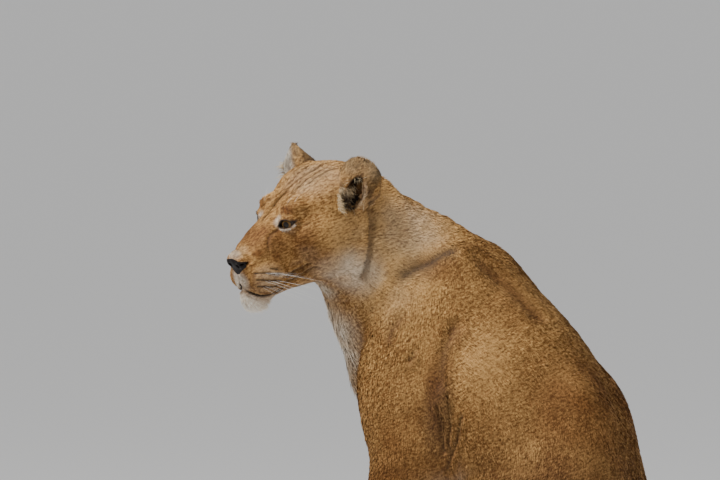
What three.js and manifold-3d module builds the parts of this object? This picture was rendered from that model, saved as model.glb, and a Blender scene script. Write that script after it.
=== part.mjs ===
// A life-size lioness for a museum hall, sitting upright with her forelegs straight and her head
// turned to her left. Millimetres, +Z up, the floor at Z = 0. She faces -X, so her left side is -Y.
//
// The body is one smooth field: a function that is negative inside her and positive outside.
// Tubes with oval sections follow the bones, ellipsoids are the muscles, and soft joins melt them
// together. A net of cells turns the field into closed meshes, out to the tips of the coat. Planes
// and outlined prisms part the meshes into pieces, with a hair's gap wherever two pieces meet.
import * as THREE from "three";
import { mergeVertices } from "three/addons/utils/BufferGeometryUtils.js";
import Module from "manifold-3d";

const wasm = await Module();
wasm.setup();

// ---- Driving dimensions -------------------------------------------------------------------------
const HEAD_CENTRE = [-136, -90, 1016]; // inside the skull, between the ears
const HEAD_TURN = 55; // degrees to her left of straight ahead
const HEAD_NOD = 14; // nose down
const HEAD_TILT = -5.5; // about the line of the nose
const FORELEG_APART = 104; // from the middle plane to each forefoot
const HIND_FOOT_APART = 192;
const FOREPAW_X = -46; // where the toes of the left forepaw join its pad
const HIND_PAW_X = 96;
const FAR_FOREFOOT_AHEAD = 34; // her right forefoot stands this much before the left
const FAR_HIND_FOOT_BACK = 18;
const ELBOW_HEIGHT = 545;
const TAIL_RADIUS = 24;
const EYE_RADIUS = 18;
const EYE_PLACE = [129, 40, 33]; // in the head's own frame: forward, left, up
const EAR_PLACE = [-8, 93, 76];
const EAR_OUTER = [36, 46, 61]; // half sizes: through the cup, across it, up it
const EAR_HOLLOW = [36, 21, 36];
const EAR_HOLLOW_PLACE = [22, 3, -4];
const EAR_RISE = { left: 6, right: 9 }; // of the cup over its place
const EAR_FACETS = { outer: 10, hollow: 9, high: 6 }; // around the cup and its hollow, and up each
const EAR_SLOPES = [ // that thin the cup toward its tip: the way each faces, through and up, and how far off
  { faces: [-0.8, 0.6], off: 33.9 },
  { faces: [0.82, 0.572], off: 38.4 },
];
const EAR_LEAN = {
  left: { up: [-0.25, 0.42, 1], opening: [0.72, 0.62, 0.1] },
  right: { up: [-0.12, -0.36, 1], opening: [0.72, -0.62, 0.1] },
};
const TOE_PITCH = 27;
const TOE_SIZE = [40, 17.5, 30]; // half length, half width, half height
const GAP = 0.3; // between pieces that meet
const SIDES = { left: -1, right: 1 };

// Cells of the nets
const BODY_CELL = 44;
const BODY_RISE = 52; // the height of a cell of the body
const FOOT_CELL = 30; // and near the floor
const FOOT_TOP = 120;
const HEAD_CELL = 25;
const TAIL_SIDES = 8;
const TAIL_STEPS = 2;
const MARGIN = 24; // how far a net runs on past its cut

// ---- Small vector helpers -----------------------------------------------------------------------
const add = (a, b) => [a[0] + b[0], a[1] + b[1], a[2] + b[2]];
const sub = (a, b) => [a[0] - b[0], a[1] - b[1], a[2] - b[2]];
const scale = (a, s) => [a[0] * s, a[1] * s, a[2] * s];
const dot = (a, b) => a[0] * b[0] + a[1] * b[1] + a[2] * b[2];
const length = (a) => Math.hypot(a[0], a[1], a[2]);
const unit = (a) => scale(a, 1 / length(a));
const cross = (a, b) => [
  a[1] * b[2] - a[2] * b[1],
  a[2] * b[0] - a[0] * b[2],
  a[0] * b[1] - a[1] * b[0],
];
const mix = (a, b, t) => a + (b - a) * t;
const clamp = (x, low, high) => Math.min(high, Math.max(low, x));
const degrees = (d) => (d * Math.PI) / 180;

// ---- Fields -------------------------------------------------------------------------------------
// The soft minimum melts two fields together over a band of about k.
function melt(a, b, k) {
  const h = Math.max(k - Math.abs(a - b), 0) / k;
  return Math.min(a, b) - (h * h * k) / 4;
}

const carve = (a, b, k) => -melt(-a, b, k);

// An ellipsoid whose own axes are the rows of frame.
function ellipsoid(centre, radii, frame) {
  return (p) => {
    const o = sub(p, centre);
    const q = frame ? frame.map((axis) => dot(o, axis)) : o;
    const k0 = Math.hypot(q[0] / radii[0], q[1] / radii[1], q[2] / radii[2]);
    const k1 = Math.hypot(q[0] / radii[0] ** 2, q[1] / radii[1] ** 2, q[2] / radii[2] ** 2);
    return k1 < 1e-9 ? -Math.min(...radii) : (k0 * (k0 - 1)) / k1;
  };
}

// The rings of a tube along a smooth curve. A station is { at: [x, y, z], deep, wide, turn }: deep
// is the half size in the plane of the bend, wide the half size across it, and turn swings the
// section about Z.
function ringsOf(stations, steps) {
  const curve = new THREE.CatmullRomCurve3(
    stations.map((s) => new THREE.Vector3(...s.at)),
    false,
    "centripetal",
  );
  const last = stations.length - 1;
  return Array.from({ length: last * steps + 1 }, (_, i) => {
    const u = i / steps;
    const k = Math.min(Math.floor(u), last - 1);
    const t = u - k;
    const ease = t * t * (3 - 2 * t);
    const along = (key) => mix(stations[k][key] ?? 0, stations[k + 1][key] ?? 0, ease);
    return {
      at: curve.getPoint(u / last).toArray(),
      tangent: curve.getTangent(u / last).toArray(),
      deep: along("deep"),
      wide: along("wide"),
      turn: degrees(along("turn")),
    };
  });
}

function tube(stations, steps = 4) {
  const rings = ringsOf(stations, steps);
  const bones = rings.slice(1).map((end, i) => {
    const start = rings[i];
    const span = sub(end.at, start.at);
    const axis = unit(span);
    const swing = (start.turn + end.turn) / 2;
    const rough = [-Math.sin(swing), Math.cos(swing), 0];
    const side = unit(sub(rough, scale(axis, dot(rough, axis))));
    return { start, end, span, reach: dot(span, span), axis, side, up: cross(axis, side) };
  });
  return (p) => {
    let best = Infinity;
    for (const b of bones) {
      const o = sub(p, b.start.at);
      const t = clamp(dot(o, b.span) / b.reach, 0, 1);
      const off = sub(o, scale(b.span, t));
      const deep = mix(b.start.deep, b.end.deep, t);
      const wide = mix(b.start.wide, b.end.wide, t);
      const least = Math.min(deep, wide);
      const u = dot(off, b.up);
      const v = dot(off, b.side);
      const w = dot(off, b.axis);
      const k0 = Math.hypot(u / deep, v / wide, w / least);
      const k1 = Math.hypot(u / deep ** 2, v / wide ** 2, w / least ** 2);
      const d = k1 < 1e-9 ? -least : (k0 * (k0 - 1)) / k1;
      if (d < best) best = d;
    }
    return best;
  };
}

// ---- The head, in its own frame: forward, left, up from the middle of the skull ------------------
const headFrame = (() => {
  const turn = new THREE.Matrix4().makeRotationZ(degrees(HEAD_TURN));
  const face = new THREE.Matrix4().makeRotationZ(Math.PI);
  const nod = new THREE.Matrix4().makeRotationY(degrees(HEAD_NOD));
  const tilt = new THREE.Matrix4().makeRotationX(degrees(HEAD_TILT));
  return turn.multiply(face).multiply(nod).multiply(tilt);
})();
const headAxes = [0, 1, 2].map((column) =>
  new THREE.Vector3().setFromMatrixColumn(headFrame, column).toArray(),
);
const toHead = (p) => headAxes.map((axis) => dot(sub(p, HEAD_CENTRE), axis));
const fromHead = (q) =>
  headAxes.reduce((sum, axis, i) => add(sum, scale(axis, q[i])), HEAD_CENTRE);

// The skull and muzzle are one loft along the head: a crown line, a lower line and a half width.
const SKULL = [
  { x: -104, top: 66, low: -60, half: 76, square: 2.0 },
  { x: -58, top: 103, low: -72, half: 94, square: 2.1 },
  { x: -5, top: 119, low: -76, half: 99, square: 2.2 },
  { x: 45, top: 110, low: -78, half: 96, square: 2.2 },
  { x: 85, top: 92, low: -78, half: 82, square: 2.3 },
  { x: 116, top: 71, low: -78, half: 66, square: 2.4 },
  { x: 150, top: 52, low: -79, half: 52, square: 2.7 },
  { x: 188, top: 30, low: -82, half: 47, square: 2.8 },
  { x: 214, top: 13, low: -80, half: 44, square: 2.6 },
  { x: 230, top: -1, low: -70, half: 35, square: 2.3 },
];

function skull(q) {
  const first = SKULL[0].x;
  const end = SKULL[SKULL.length - 1].x;
  const x = clamp(q[0], first, end);
  let k = 0;
  while (k < SKULL.length - 2 && x > SKULL[k + 1].x) k++;
  const t = (x - SKULL[k].x) / (SKULL[k + 1].x - SKULL[k].x);
  const smooth = (key) => {
    const a = SKULL[Math.max(k - 1, 0)][key];
    const b = SKULL[k][key];
    const c = SKULL[k + 1][key];
    const d = SKULL[Math.min(k + 2, SKULL.length - 1)][key];
    return b + 0.5 * t * (c - a + t * (2 * a - 5 * b + 4 * c - d + t * (3 * (b - c) + d - a)));
  };
  const top = smooth("top");
  const low = smooth("low");
  const half = smooth("half");
  const n = smooth("square");
  const tall = (top - low) / 2;
  const over = Math.max(first - q[0], q[0] - end, 0);
  const round = Math.min(tall, half);
  const k0 =
    (Math.abs(q[1] / half) ** n +
      Math.abs((q[2] - (top + low) / 2) / tall) ** n +
      (over / (round * 0.4)) ** n) **
    (1 / n);
  return (k0 - 1) * round;
}

const headTubes = [
  // lower jaw, from below the ear to the chin
  tube([
    { at: [10, 0, -62], deep: 34, wide: 70 },
    { at: [80, 0, -76], deep: 32, wide: 60 },
    { at: [150, 0, -84], deep: 27, wide: 42 },
    { at: [200, 0, -90], deep: 26, wide: 33 },
  ]),
];

// Ellipsoids on the head. Those with a y are on both sides.
const HEAD_MUSCLES = [
  { name: "cheek", at: [40, 66, -26], radii: [68, 42, 62], soft: 40 },
  { name: "cheekbone", at: [84, 64, 0], radii: [42, 24, 28], soft: 30 },
  { name: "brow", at: [104, 40, 60], radii: [34, 25, 18], soft: 24 },
  { name: "temple", at: [14, 58, 62], radii: [60, 38, 40], soft: 36 },
  { name: "whisker pad", at: [196, 32, -60], radii: [43, 30, 37], soft: 12 },
  { name: "chin", at: [212, 0, -102], radii: [28, 30, 27], soft: 20 },
  { name: "upper lip", at: [223, 10, -68], radii: [19, 18, 19], soft: 10 },
  { name: "nose tip", at: [235, 0, -18], radii: [19, 27, 21], soft: 12 },
].map((m) => ({ ...m, field: ellipsoid(m.at, m.radii) }));

const EYE_HOLLOW = ellipsoid([EYE_PLACE[0] + 24, EYE_PLACE[1] + 16, EYE_PLACE[2]], [18, 17, 13]);

// ---- Ears: round cups, hollow toward the front and side -------------------------------------------
function ear(side) {
  const lean = side > 0 ? EAR_LEAN.left : EAR_LEAN.right;
  const up = unit(lean.up);
  const opening = unit(lean.opening);
  const mouth = unit(sub(opening, scale(up, dot(opening, up))));
  const axes = [mouth, cross(up, mouth), up];
  const base = [EAR_PLACE[0], EAR_PLACE[1] * side, EAR_PLACE[2]];
  const seat = (into, across, rise) =>
    [into, across * side, rise].reduce((at, d, i) => add(at, scale(axes[i], d)), base);
  const lift = side > 0 ? EAR_RISE.left : EAR_RISE.right;
  const outer = { at: seat(0, 0, lift), radii: EAR_OUTER, axes };
  const hollow = { at: seat(...EAR_HOLLOW_PLACE), radii: EAR_HOLLOW, axes };
  const slopes = EAR_SLOPES.map(({ faces: [through, rise], off }) => ({
    at: seat(through * off, 0, lift + rise * off),
    faces: add(scale(axes[0], through), scale(axes[2], rise)),
  }));
  return { outer, hollow, slopes };
}

const ears = [ear(1), ear(-1)];
const hollows = ears.map(({ hollow }) => ellipsoid(hollow.at, hollow.radii, hollow.axes));

function headField(p) {
  const q = toHead(p);
  const folded = [q[0], Math.abs(q[1]), q[2]];
  let d = skull(q);
  for (const jaw of headTubes) d = melt(d, jaw(q), 26);
  for (const m of HEAD_MUSCLES) d = melt(d, m.field(folded), m.soft);
  d = carve(d, EYE_HOLLOW(folded), 14);
  return carve(d, hollows[q[1] > 0 ? 0 : 1](q), 12);
}

// ---- The body -----------------------------------------------------------------------------------
const trunk = tube([
  { at: [-22, 0, 735], deep: 112, wide: 98 },
  { at: [60, 0, 765], deep: 188, wide: 132 },
  { at: [136, 0, 735], deep: 190, wide: 154 },
  { at: [206, 0, 655], deep: 196, wide: 168 },
  { at: [268, 0, 552], deep: 189, wide: 174 },
  { at: [316, 0, 436], deep: 172, wide: 172 },
  { at: [342, 0, 310], deep: 148, wide: 164 },
  { at: [348, 0, 190], deep: 124, wide: 146 },
  { at: [350, 0, 104], deep: 108, wide: 118 },
]);

const neck = tube([
  { at: [84, 0, 826], deep: 163, wide: 112, turn: 0 },
  { at: [12, -10, 886], deep: 151, wide: 106, turn: 8 },
  { at: [-52, -34, 948], deep: 128, wide: 100, turn: 28 },
  { at: [-92, -54, 992], deep: 102, wide: 94, turn: 48 },
]);

const throat = tube([
  { at: [-126, -80, 900], deep: 40, wide: 54, turn: 40 },
  { at: [-106, -40, 822], deep: 50, wide: 64, turn: 16 },
  { at: [-66, 0, 730], deep: 54, wide: 70, turn: 0 },
]);

function foreleg(side, forward) {
  const y = (inward) => side * (FORELEG_APART + inward);
  const shoulder = tube([
    { at: [148, y(-46), 930], deep: 44, wide: 24 },
    { at: [88, y(-8), 840], deep: 74, wide: 38 },
    { at: [14, y(14), 730], deep: 84, wide: 54 },
    { at: [22, y(22), 640], deep: 88, wide: 60 },
    { at: [54, y(16), 570], deep: 78, wide: 56 },
  ]);
  const arm = tube([
    { at: [46, y(14), ELBOW_HEIGHT + 20], deep: 83, wide: 56 },
    { at: [16, y(12), 450], deep: 76, wide: 53 },
    { at: [6 + forward * 0.5, y(6), 320], deep: 55, wide: 47 },
    { at: [4 + forward, y(2), 205], deep: 45, wide: 43 },
    { at: [2 + forward, y(0), 120], deep: 41, wide: 45 },
    { at: [-20 + forward, y(0), 62], deep: 42, wide: 50 },
  ]);
  const elbow = ellipsoid([112, y(18), ELBOW_HEIGHT + 8], [34, 28, 44]);
  const pad = padOf([FOREPAW_X + forward, y(0), 0]);
  return (p) => melt(melt(melt(shoulder(p), arm(p), 50), elbow(p), 40), pad(p), 26);
}

// A paw is a pad with four toes in front. It points to -X.
function toesOf(at) {
  return [-1.5, -0.5, 0.5, 1.5].map((n) => ({
    at: add(at, [-24 + Math.abs(n) * 13, n * TOE_PITCH, TOE_SIZE[2] - 3]),
    radii: TOE_SIZE,
  }));
}

const padOf = (at) => ellipsoid(add(at, [26, 0, 34]), [58, 54, 40]);

function hindLeg(side, forward) {
  const y = (d) => side * d;
  const thigh = tube([
    { at: [352, y(92), 430], deep: 142, wide: 92 },
    { at: [262, y(124), 392], deep: 142, wide: 84 },
    { at: [176, y(152), 360], deep: 112, wide: 68 },
    { at: [112, y(168), 340], deep: 74, wide: 56 },
  ]);
  const shank = tube([
    { at: [124, y(172), 318], deep: 62, wide: 50 },
    { at: [200, y(176), 232], deep: 72, wide: 50 },
    { at: [276, y(182), 140], deep: 50, wide: 40 },
    { at: [318, y(188), 66], deep: 40, wide: 38 },
  ]);
  const buttock = ellipsoid([352, y(104), 164], [112, 74, 168]);
  const foot = tube([
    { at: [322, y(188), 41], deep: 44, wide: 36 },
    { at: [220, y(HIND_FOOT_APART), 35], deep: 38, wide: 38 },
    { at: [144 + forward, y(HIND_FOOT_APART), 35], deep: 38, wide: 46 },
  ]);
  const pad = padOf([HIND_PAW_X + forward, y(HIND_FOOT_APART), 0]);
  return (p) => {
    const upper = melt(melt(thigh(p), buttock(p), 60), shank(p), 34);
    return melt(melt(upper, foot(p), 20), pad(p), 20);
  };
}

// The tail leaves the rump near the floor and curls round behind her to her right.
const TAIL = [
  { at: [404, 0, 150], deep: 46, wide: 50 },
  { at: [474, 6, 84], deep: 34, wide: 36 },
  { at: [536, 34, 34], deep: 27, wide: 28 },
  { at: [572, 108, 22], deep: TAIL_RADIUS, wide: TAIL_RADIUS },
  { at: [552, 206, 20], deep: TAIL_RADIUS, wide: TAIL_RADIUS },
  { at: [476, 286, 19], deep: TAIL_RADIUS - 1, wide: TAIL_RADIUS - 1 },
  { at: [380, 322, 18], deep: TAIL_RADIUS - 2, wide: TAIL_RADIUS - 2 },
  { at: [288, 334, 18], deep: TAIL_RADIUS - 2, wide: TAIL_RADIUS - 1 },
  { at: [232, 334, 22], deep: TAIL_RADIUS + 4, wide: TAIL_RADIUS + 7 },
  { at: [176, 328, 24], deep: TAIL_RADIUS + 6, wide: TAIL_RADIUS + 10 },
  { at: [116, 318, 14], deep: TAIL_RADIUS - 9, wide: TAIL_RADIUS - 6 },
];

const forelegs = [foreleg(SIDES.left, 0), foreleg(SIDES.right, -FAR_FOREFOOT_AHEAD)];
const hindLegs = [hindLeg(SIDES.left, 0), hindLeg(SIDES.right, FAR_HIND_FOOT_BACK)];

// Muscles and fat on the trunk, on both sides where y isn't 0
const BODY_MUSCLES = [
  { name: "breast", at: [-48, 0, 690], radii: [60, 70, 92], soft: 50 },
  { name: "shoulder blade", at: [116, 84, 872], radii: [62, 36, 96], soft: 40 },
  { name: "ribs", at: [165, 92, 640], radii: [120, 82, 150], soft: 60 },
  { name: "loin", at: [366, 70, 560], radii: [70, 64, 140], soft: 60 },
  { name: "haunch", at: [340, 104, 420], radii: [120, 92, 140], soft: 70 },
  { name: "belly", at: [180, 0, 430], radii: [92, 110, 150], soft: 60 },
].map((m) => ({ ...m, field: ellipsoid(m.at, m.radii) }));

function bodyField(p) {
  const folded = [p[0], Math.abs(p[1]), p[2]];
  let d = melt(melt(trunk(p), neck(p), 70), throat(p), 40);
  for (const m of BODY_MUSCLES) d = melt(d, m.field(folded), m.soft);
  for (const leg of hindLegs) d = melt(d, leg(p), 30);
  for (const leg of forelegs) d = melt(d, leg(p), 30);
  return melt(d, headField(p), 44);
}

// ---- From a field to a closed mesh --------------------------------------------------------------
// One vertex in each cell that the surface crosses, and one face across each grid edge that it cuts.
function net(field, xs, ys, zs) {
  const size = [xs.length, ys.length, zs.length];
  const at = (i, j, k) => (k * size[1] + j) * size[0] + i;
  const value = new Float64Array(size[0] * size[1] * size[2]);
  for (let k = 0; k < size[2]; k++)
    for (let j = 0; j < size[1]; j++)
      for (let i = 0; i < size[0]; i++) value[at(i, j, k)] = field([xs[i], ys[j], zs[k]]);
  const inside = (i, j, k) => value[at(i, j, k)] < 0;
  const vertices = [];
  const cell = new Map();
  const lines = [xs, ys, zs];
  function vertexOf(i, j, k) {
    const key = at(i, j, k);
    if (cell.has(key)) return cell.get(key);
    const sum = [0, 0, 0];
    let hits = 0;
    for (let axis = 0; axis < 3; axis++)
      for (let a = 0; a < 2; a++)
        for (let b = 0; b < 2; b++) {
          const from = [i, j, k];
          from[(axis + 1) % 3] += a;
          from[(axis + 2) % 3] += b;
          const to = [...from];
          to[axis] += 1;
          const va = value[at(...from)];
          const vb = value[at(...to)];
          if (va < 0 === vb < 0) continue;
          const t = va / (va - vb);
          for (let c = 0; c < 3; c++) sum[c] += mix(lines[c][from[c]], lines[c][to[c]], t);
          hits++;
        }
    cell.set(key, vertices.length);
    vertices.push(scale(sum, 1 / hits));
    return vertices.length - 1;
  }
  const triangles = [];
  for (let k = 1; k < size[2] - 1; k++)
    for (let j = 1; j < size[1] - 1; j++)
      for (let i = 1; i < size[0] - 1; i++)
        for (let axis = 0; axis < 3; axis++) {
          const to = [i, j, k];
          to[axis] += 1;
          const here = inside(i, j, k);
          if (here === inside(...to)) continue;
          const ring = [
            [0, 0],
            [-1, 0],
            [-1, -1],
            [0, -1],
          ].map(([a, b]) => {
            const c = [i, j, k];
            c[(axis + 1) % 3] += a;
            c[(axis + 2) % 3] += b;
            return vertexOf(...c);
          });
          if (!here) ring.reverse();
          triangles.push([ring[0], ring[1], ring[2]], [ring[0], ring[2], ring[3]]);
        }
  return { vertices: vertices.map((v) => settle(field, v)), triangles };
}

// Moves a vertex along the field's slope until it lies on the surface.
function settle(field, start) {
  const h = 0.5;
  let p = start;
  for (let n = 0; n < 3; n++) {
    const d = field(p);
    const slope = [0, 1, 2].map((c) => {
      const q = [...p];
      q[c] += h;
      return (field(q) - d) / h;
    });
    const steep = dot(slope, slope);
    if (steep < 0.05) break;
    p = sub(p, scale(slope, clamp(d / steep, -6, 6)));
  }
  return p;
}

function steps(low, high, step) {
  const count = Math.ceil((high - low) / step);
  return Array.from({ length: count + 1 }, (_, i) => low + i * step);
}

const solidFromNet = ({ vertices, triangles }) =>
  new wasm.Manifold(
    new wasm.Mesh({
      numProp: 3,
      vertProperties: new Float32Array(vertices.flat()),
      triVerts: new Uint32Array(triangles.flat()),
    }),
  );

function solidFromGeometry(geometry) {
  const bare = geometry.clone();
  bare.deleteAttribute("normal");
  bare.deleteAttribute("uv");
  const merged = mergeVertices(bare, 1e-4);
  return new wasm.Manifold(
    new wasm.Mesh({
      numProp: 3,
      vertProperties: merged.attributes.position.array,
      triVerts: new Uint32Array(merged.index.array),
    }),
  );
}

// A closed solid swept through the rings of a tube. Its last ring closes on a point.
function sweep(stations, steps, around) {
  const rings = ringsOf(stations, steps);
  const vertices = [];
  for (const ring of rings) {
    const flat = [-ring.tangent[1], ring.tangent[0], 0];
    const side = unit(flat);
    const up = cross(ring.tangent, side);
    for (let i = 0; i < around; i++) {
      const angle = (2 * Math.PI * i) / around;
      const across = scale(side, ring.wide * Math.cos(angle));
      vertices.push(add(ring.at, add(across, scale(up, ring.deep * Math.sin(angle)))));
    }
  }
  const end = rings[rings.length - 1];
  vertices.push(rings[0].at, add(end.at, scale(end.tangent, end.wide)));
  const triangles = [];
  const at = (row, i) => row * around + (i % around);
  for (let i = 0; i < around; i++) {
    triangles.push([at(0, i + 1), at(0, i), vertices.length - 2]);
    for (let row = 0; row < rings.length - 1; row++)
      triangles.push(
        [at(row, i), at(row, i + 1), at(row + 1, i)],
        [at(row, i + 1), at(row + 1, i + 1), at(row + 1, i)],
      );
    triangles.push([at(rings.length - 1, i), at(rings.length - 1, i + 1), vertices.length - 1]);
  }
  return { vertices, triangles };
}

// ---- Cutters ------------------------------------------------------------------------------------
const BIG = 3000;

// The half space ahead of the plane through point, in the direction of normal.
function ahead({ point, normal }, shift = 0) {
  const block = new THREE.BoxGeometry(BIG, BIG, BIG).translate(0, 0, BIG / 2 + shift);
  const turn = new THREE.Quaternion().setFromUnitVectors(
    new THREE.Vector3(0, 0, 1),
    new THREE.Vector3(...unit(normal)),
  );
  return solidFromGeometry(block.applyQuaternion(turn).translate(...point));
}

const heightOver = ({ point, normal }, p) => dot(sub(p, point), unit(normal));

// Moves each side of an outline outward by some distance. The outline runs anticlockwise.
function grow(outline, by) {
  return outline.map((corner, i) => {
    const before = outline[(i + outline.length - 1) % outline.length];
    const after = outline[(i + 1) % outline.length];
    const normals = [
      [corner[1] - before[1], before[0] - corner[0]],
      [after[1] - corner[1], corner[0] - after[0]],
    ].map(([x, y]) => [x / Math.hypot(x, y), y / Math.hypot(x, y)]);
    const open = 1 + normals[0][0] * normals[1][0] + normals[0][1] * normals[1][1];
    return corner.map((c, axis) => c + (by * (normals[0][axis] + normals[1][axis])) / open);
  });
}

function prism(outline, low, high) {
  const shape = new THREE.Shape(outline.map(([x, y]) => new THREE.Vector2(x, y)));
  const form = { depth: high - low, bevelEnabled: false };
  return new THREE.ExtrudeGeometry(shape, form).translate(0, 0, low);
}

// A prism with an outline seen from her right side, X forward and Z up, across some range of Y.
function sidePrism({ outline, near, far }, by = 0) {
  const block = prism(grow(outline, by), -far - by, -near + by);
  return solidFromGeometry(block.rotateX(Math.PI / 2));
}

// The same on the other side of the middle plane
const onSide = (side, cuts) =>
  cuts.map(({ outline, near, far }) =>
    side > 0 ? { outline, near, far } : { outline, near: -far, far: -near },
  );

const join = (solids) => solids.reduce((sum, solid) => sum.add(solid));

function largest(solid) {
  const bodies = solid.decompose();
  return bodies.reduce((best, body) => (body.volume() > best.volume() ? body : best));
}

// Parts a solid in two along a cutter, which is asked for once as it is and once grown by the gap.
function part(solid, cutter) {
  return [largest(solid.intersect(cutter(0))), largest(solid.subtract(cutter(GAP)))];
}

const globe = (at, radii, around = 7, down = 5) =>
  new THREE.SphereGeometry(1, around, down).scale(...radii).translate(...at);

const headMatrix = new THREE.Matrix4().makeTranslation(...HEAD_CENTRE).multiply(headFrame);

// ---- Where the pieces part ----------------------------------------------------------------------
const NAPE = { point: fromHead([-62, 0, 20]), normal: add(headAxes[0], scale(headAxes[2], 0.3)) };
const UNDER_JAW = {
  point: fromHead([0, 0, -113]),
  normal: add(headAxes[2], scale(headAxes[0], 0.075)),
};
const NECK_BASE = { point: [-10, 0, 850], normal: [-0.75, -0.15, 0.65] };

const FORELEG_CUTS = [
  {
    outline: [
      [-150, 540],
      [150, 530],
      [130, 700],
      [175, 900],
      [80, 925],
      [-150, 720],
    ],
    near: 88,
    far: 400,
  },
  {
    outline: [
      [-190, -5],
      [36, -5],
      [52, 330],
      [88, 450],
      [150, 572],
      [-150, 572],
    ],
    near: 24,
    far: 400,
  },
];
const WRIST = { point: [0, 0, 92], normal: [0, 0, -1] };

const HIND_LEG_CUTS = [
  {
    outline: [
      [20, 250],
      [120, 120],
      [440, 120],
      [480, 330],
      [330, 560],
      [40, 470],
    ],
    near: 96,
    far: 400,
  },
  {
    outline: [
      [-60, -5],
      [236, -5],
      [236, 130],
      [-60, 130],
    ],
    near: 60,
    far: 400,
  },
  {
    outline: [
      [230, -5],
      [372, -5],
      [372, 130],
      [230, 130],
    ],
    near: 150,
    far: 400,
  },
];
const INSTEP = { point: [165, 0, 0], normal: [-1, 0, 0] };
const FOOT_HEIGHT = { point: [0, 0, 125], normal: [0, 0, -1] };

const TAIL_JOINTS = [
  { point: [570, 104, 0], normal: [0, 1, 0] },
  { point: [480, 282, 0], normal: [-1, 0.4, 0] },
  { point: [262, 334, 0], normal: [-1, 0, 0] },
];

const NOSE_OUTLINE = [
  [-8, -40],
  [8, -40],
  [23, -22],
  [25, -3],
  [-25, -3],
  [-23, -22],
];
const NOSE_DEPTH = 222; // how far forward of the head's centre the nose leather begins

// ---- The pieces ---------------------------------------------------------------------------------
// How far a point lies outside the head's own region, behind the nape or below the jaw
const pastHead = (p) => -Math.min(heightOver(NAPE, p), heightOver(UNDER_JAW, p));

const bodyNet = net(
  (p) => Math.max(bodyField(p), -pastHead(p) - MARGIN),
  steps(-350, 650, BODY_CELL),
  steps(-330, 420, BODY_CELL),
  [...steps(-1.5 * FOOT_CELL, FOOT_TOP, FOOT_CELL), ...steps(FOOT_TOP + BODY_RISE, 1190, BODY_RISE)],
);

const headNet = net(
  (q) => {
    const p = fromHead(q);
    return Math.max(bodyField(p), pastHead(p) - MARGIN);
  },
  steps(-170, 290, HEAD_CELL),
  steps(-150, 200, HEAD_CELL),
  steps(-180, 160, HEAD_CELL),
);
headNet.vertices = headNet.vertices.map(fromHead);

const FLOOR = ahead({ point: [0, 0, 0], normal: [0, 0, 1] });
const headCut = (by) => ahead(NAPE, -by).intersect(ahead(UNDER_JAW, -by));
const planeCut = (plane) => (by) => ahead(plane, -by);
const footCut = (by) => ahead(INSTEP, -by).intersect(ahead(FOOT_HEIGHT, -by));
const sideCut = (side, cuts) => (by) =>
  join(onSide(side, cuts).map((cut) => sidePrism(cut, by)));

const pieces = {};
pieces.head = largest(solidFromNet(headNet).intersect(headCut(0)));
// The floor flattens all that rests on it.
let rest = largest(solidFromNet(bodyNet).intersect(FLOOR).subtract(headCut(GAP)));
[pieces.neck, rest] = part(rest, planeCut(NECK_BASE));

function withToes(solid, at) {
  const toes = toesOf(at).map(({ at, radii }) => solidFromGeometry(globe(at, radii)));
  return largest(join([solid, ...toes]).intersect(FLOOR));
}

for (const [name, side] of Object.entries(SIDES)) {
  const ahead = side > 0 ? -FAR_FOREFOOT_AHEAD : 0;
  const back = side > 0 ? FAR_HIND_FOOT_BACK : 0;
  let leg;
  let paw;
  [leg, rest] = part(rest, sideCut(side, FORELEG_CUTS));
  [paw, pieces[`foreleg_${name}`]] = part(leg, planeCut(WRIST));
  pieces[`forepaw_${name}`] = withToes(paw, [FOREPAW_X + ahead, side * FORELEG_APART, 0]);
  [leg, rest] = part(rest, sideCut(side, HIND_LEG_CUTS));
  [paw, pieces[`hind_leg_${name}`]] = part(leg, footCut);
  pieces[`hind_paw_${name}`] = withToes(paw, [HIND_PAW_X + back, side * HIND_FOOT_APART, 0]);
}

pieces.trunk = rest;

// The tail's lengths. Its root is cut clear of the rump.
const rump = rest.add(rest.translate(GAP, 0, 0)).add(rest.translate(0, 0, -GAP));
let tail = solidFromNet(sweep(TAIL, TAIL_STEPS, TAIL_SIDES)).intersect(FLOOR);
tail = largest(tail.subtract(rump));
TAIL_JOINTS.forEach((joint, i) => {
  [tail, pieces[`tail_${i + 1}`]] = part(tail, planeCut(joint));
});
pieces.tail_tuft = tail;

// The nose leather, cut out of the muzzle along the line of the head
function noseCut(by) {
  const block = prism(grow(NOSE_OUTLINE, by), NOSE_DEPTH - by, BIG);
  const alongHead = new THREE.Matrix4().set(0, 0, 1, 0, 1, 0, 0, 0, 0, 1, 0, 0, 0, 0, 0, 1);
  return solidFromGeometry(block.applyMatrix4(alongHead).applyMatrix4(headMatrix));
}
[pieces.nose, pieces.head] = part(pieces.head, noseCut);

ears.forEach(({ outer, hollow, slopes }, n) => {
  const name = n === 0 ? "left" : "right";
  const cup = ({ at, radii, axes }, around) => {
    const stand = new THREE.Matrix4().makeBasis(...axes.map((a) => new THREE.Vector3(...a)));
    const shape = globe([0, 0, 0], radii, around, EAR_FACETS.high).applyMatrix4(stand).translate(...at);
    return solidFromGeometry(shape.applyMatrix4(headMatrix));
  };
  const outward = sub(fromHead(outer.at), fromHead([outer.at[0], 0, 0]));
  const clear = pieces.head.translate(...scale(unit(outward), GAP));
  let shell = cup(outer, EAR_FACETS.outer).subtract(cup(hollow, EAR_FACETS.hollow));
  for (const { at, faces } of slopes) {
    const inward = sub(fromHead(at), fromHead(add(at, faces)));
    shell = shell.trimByPlane(inward, dot(inward, fromHead(at)));
  }
  pieces[`ear_${name}`] = largest(shell.subtract(pieces.head.add(clear)));
});

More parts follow.
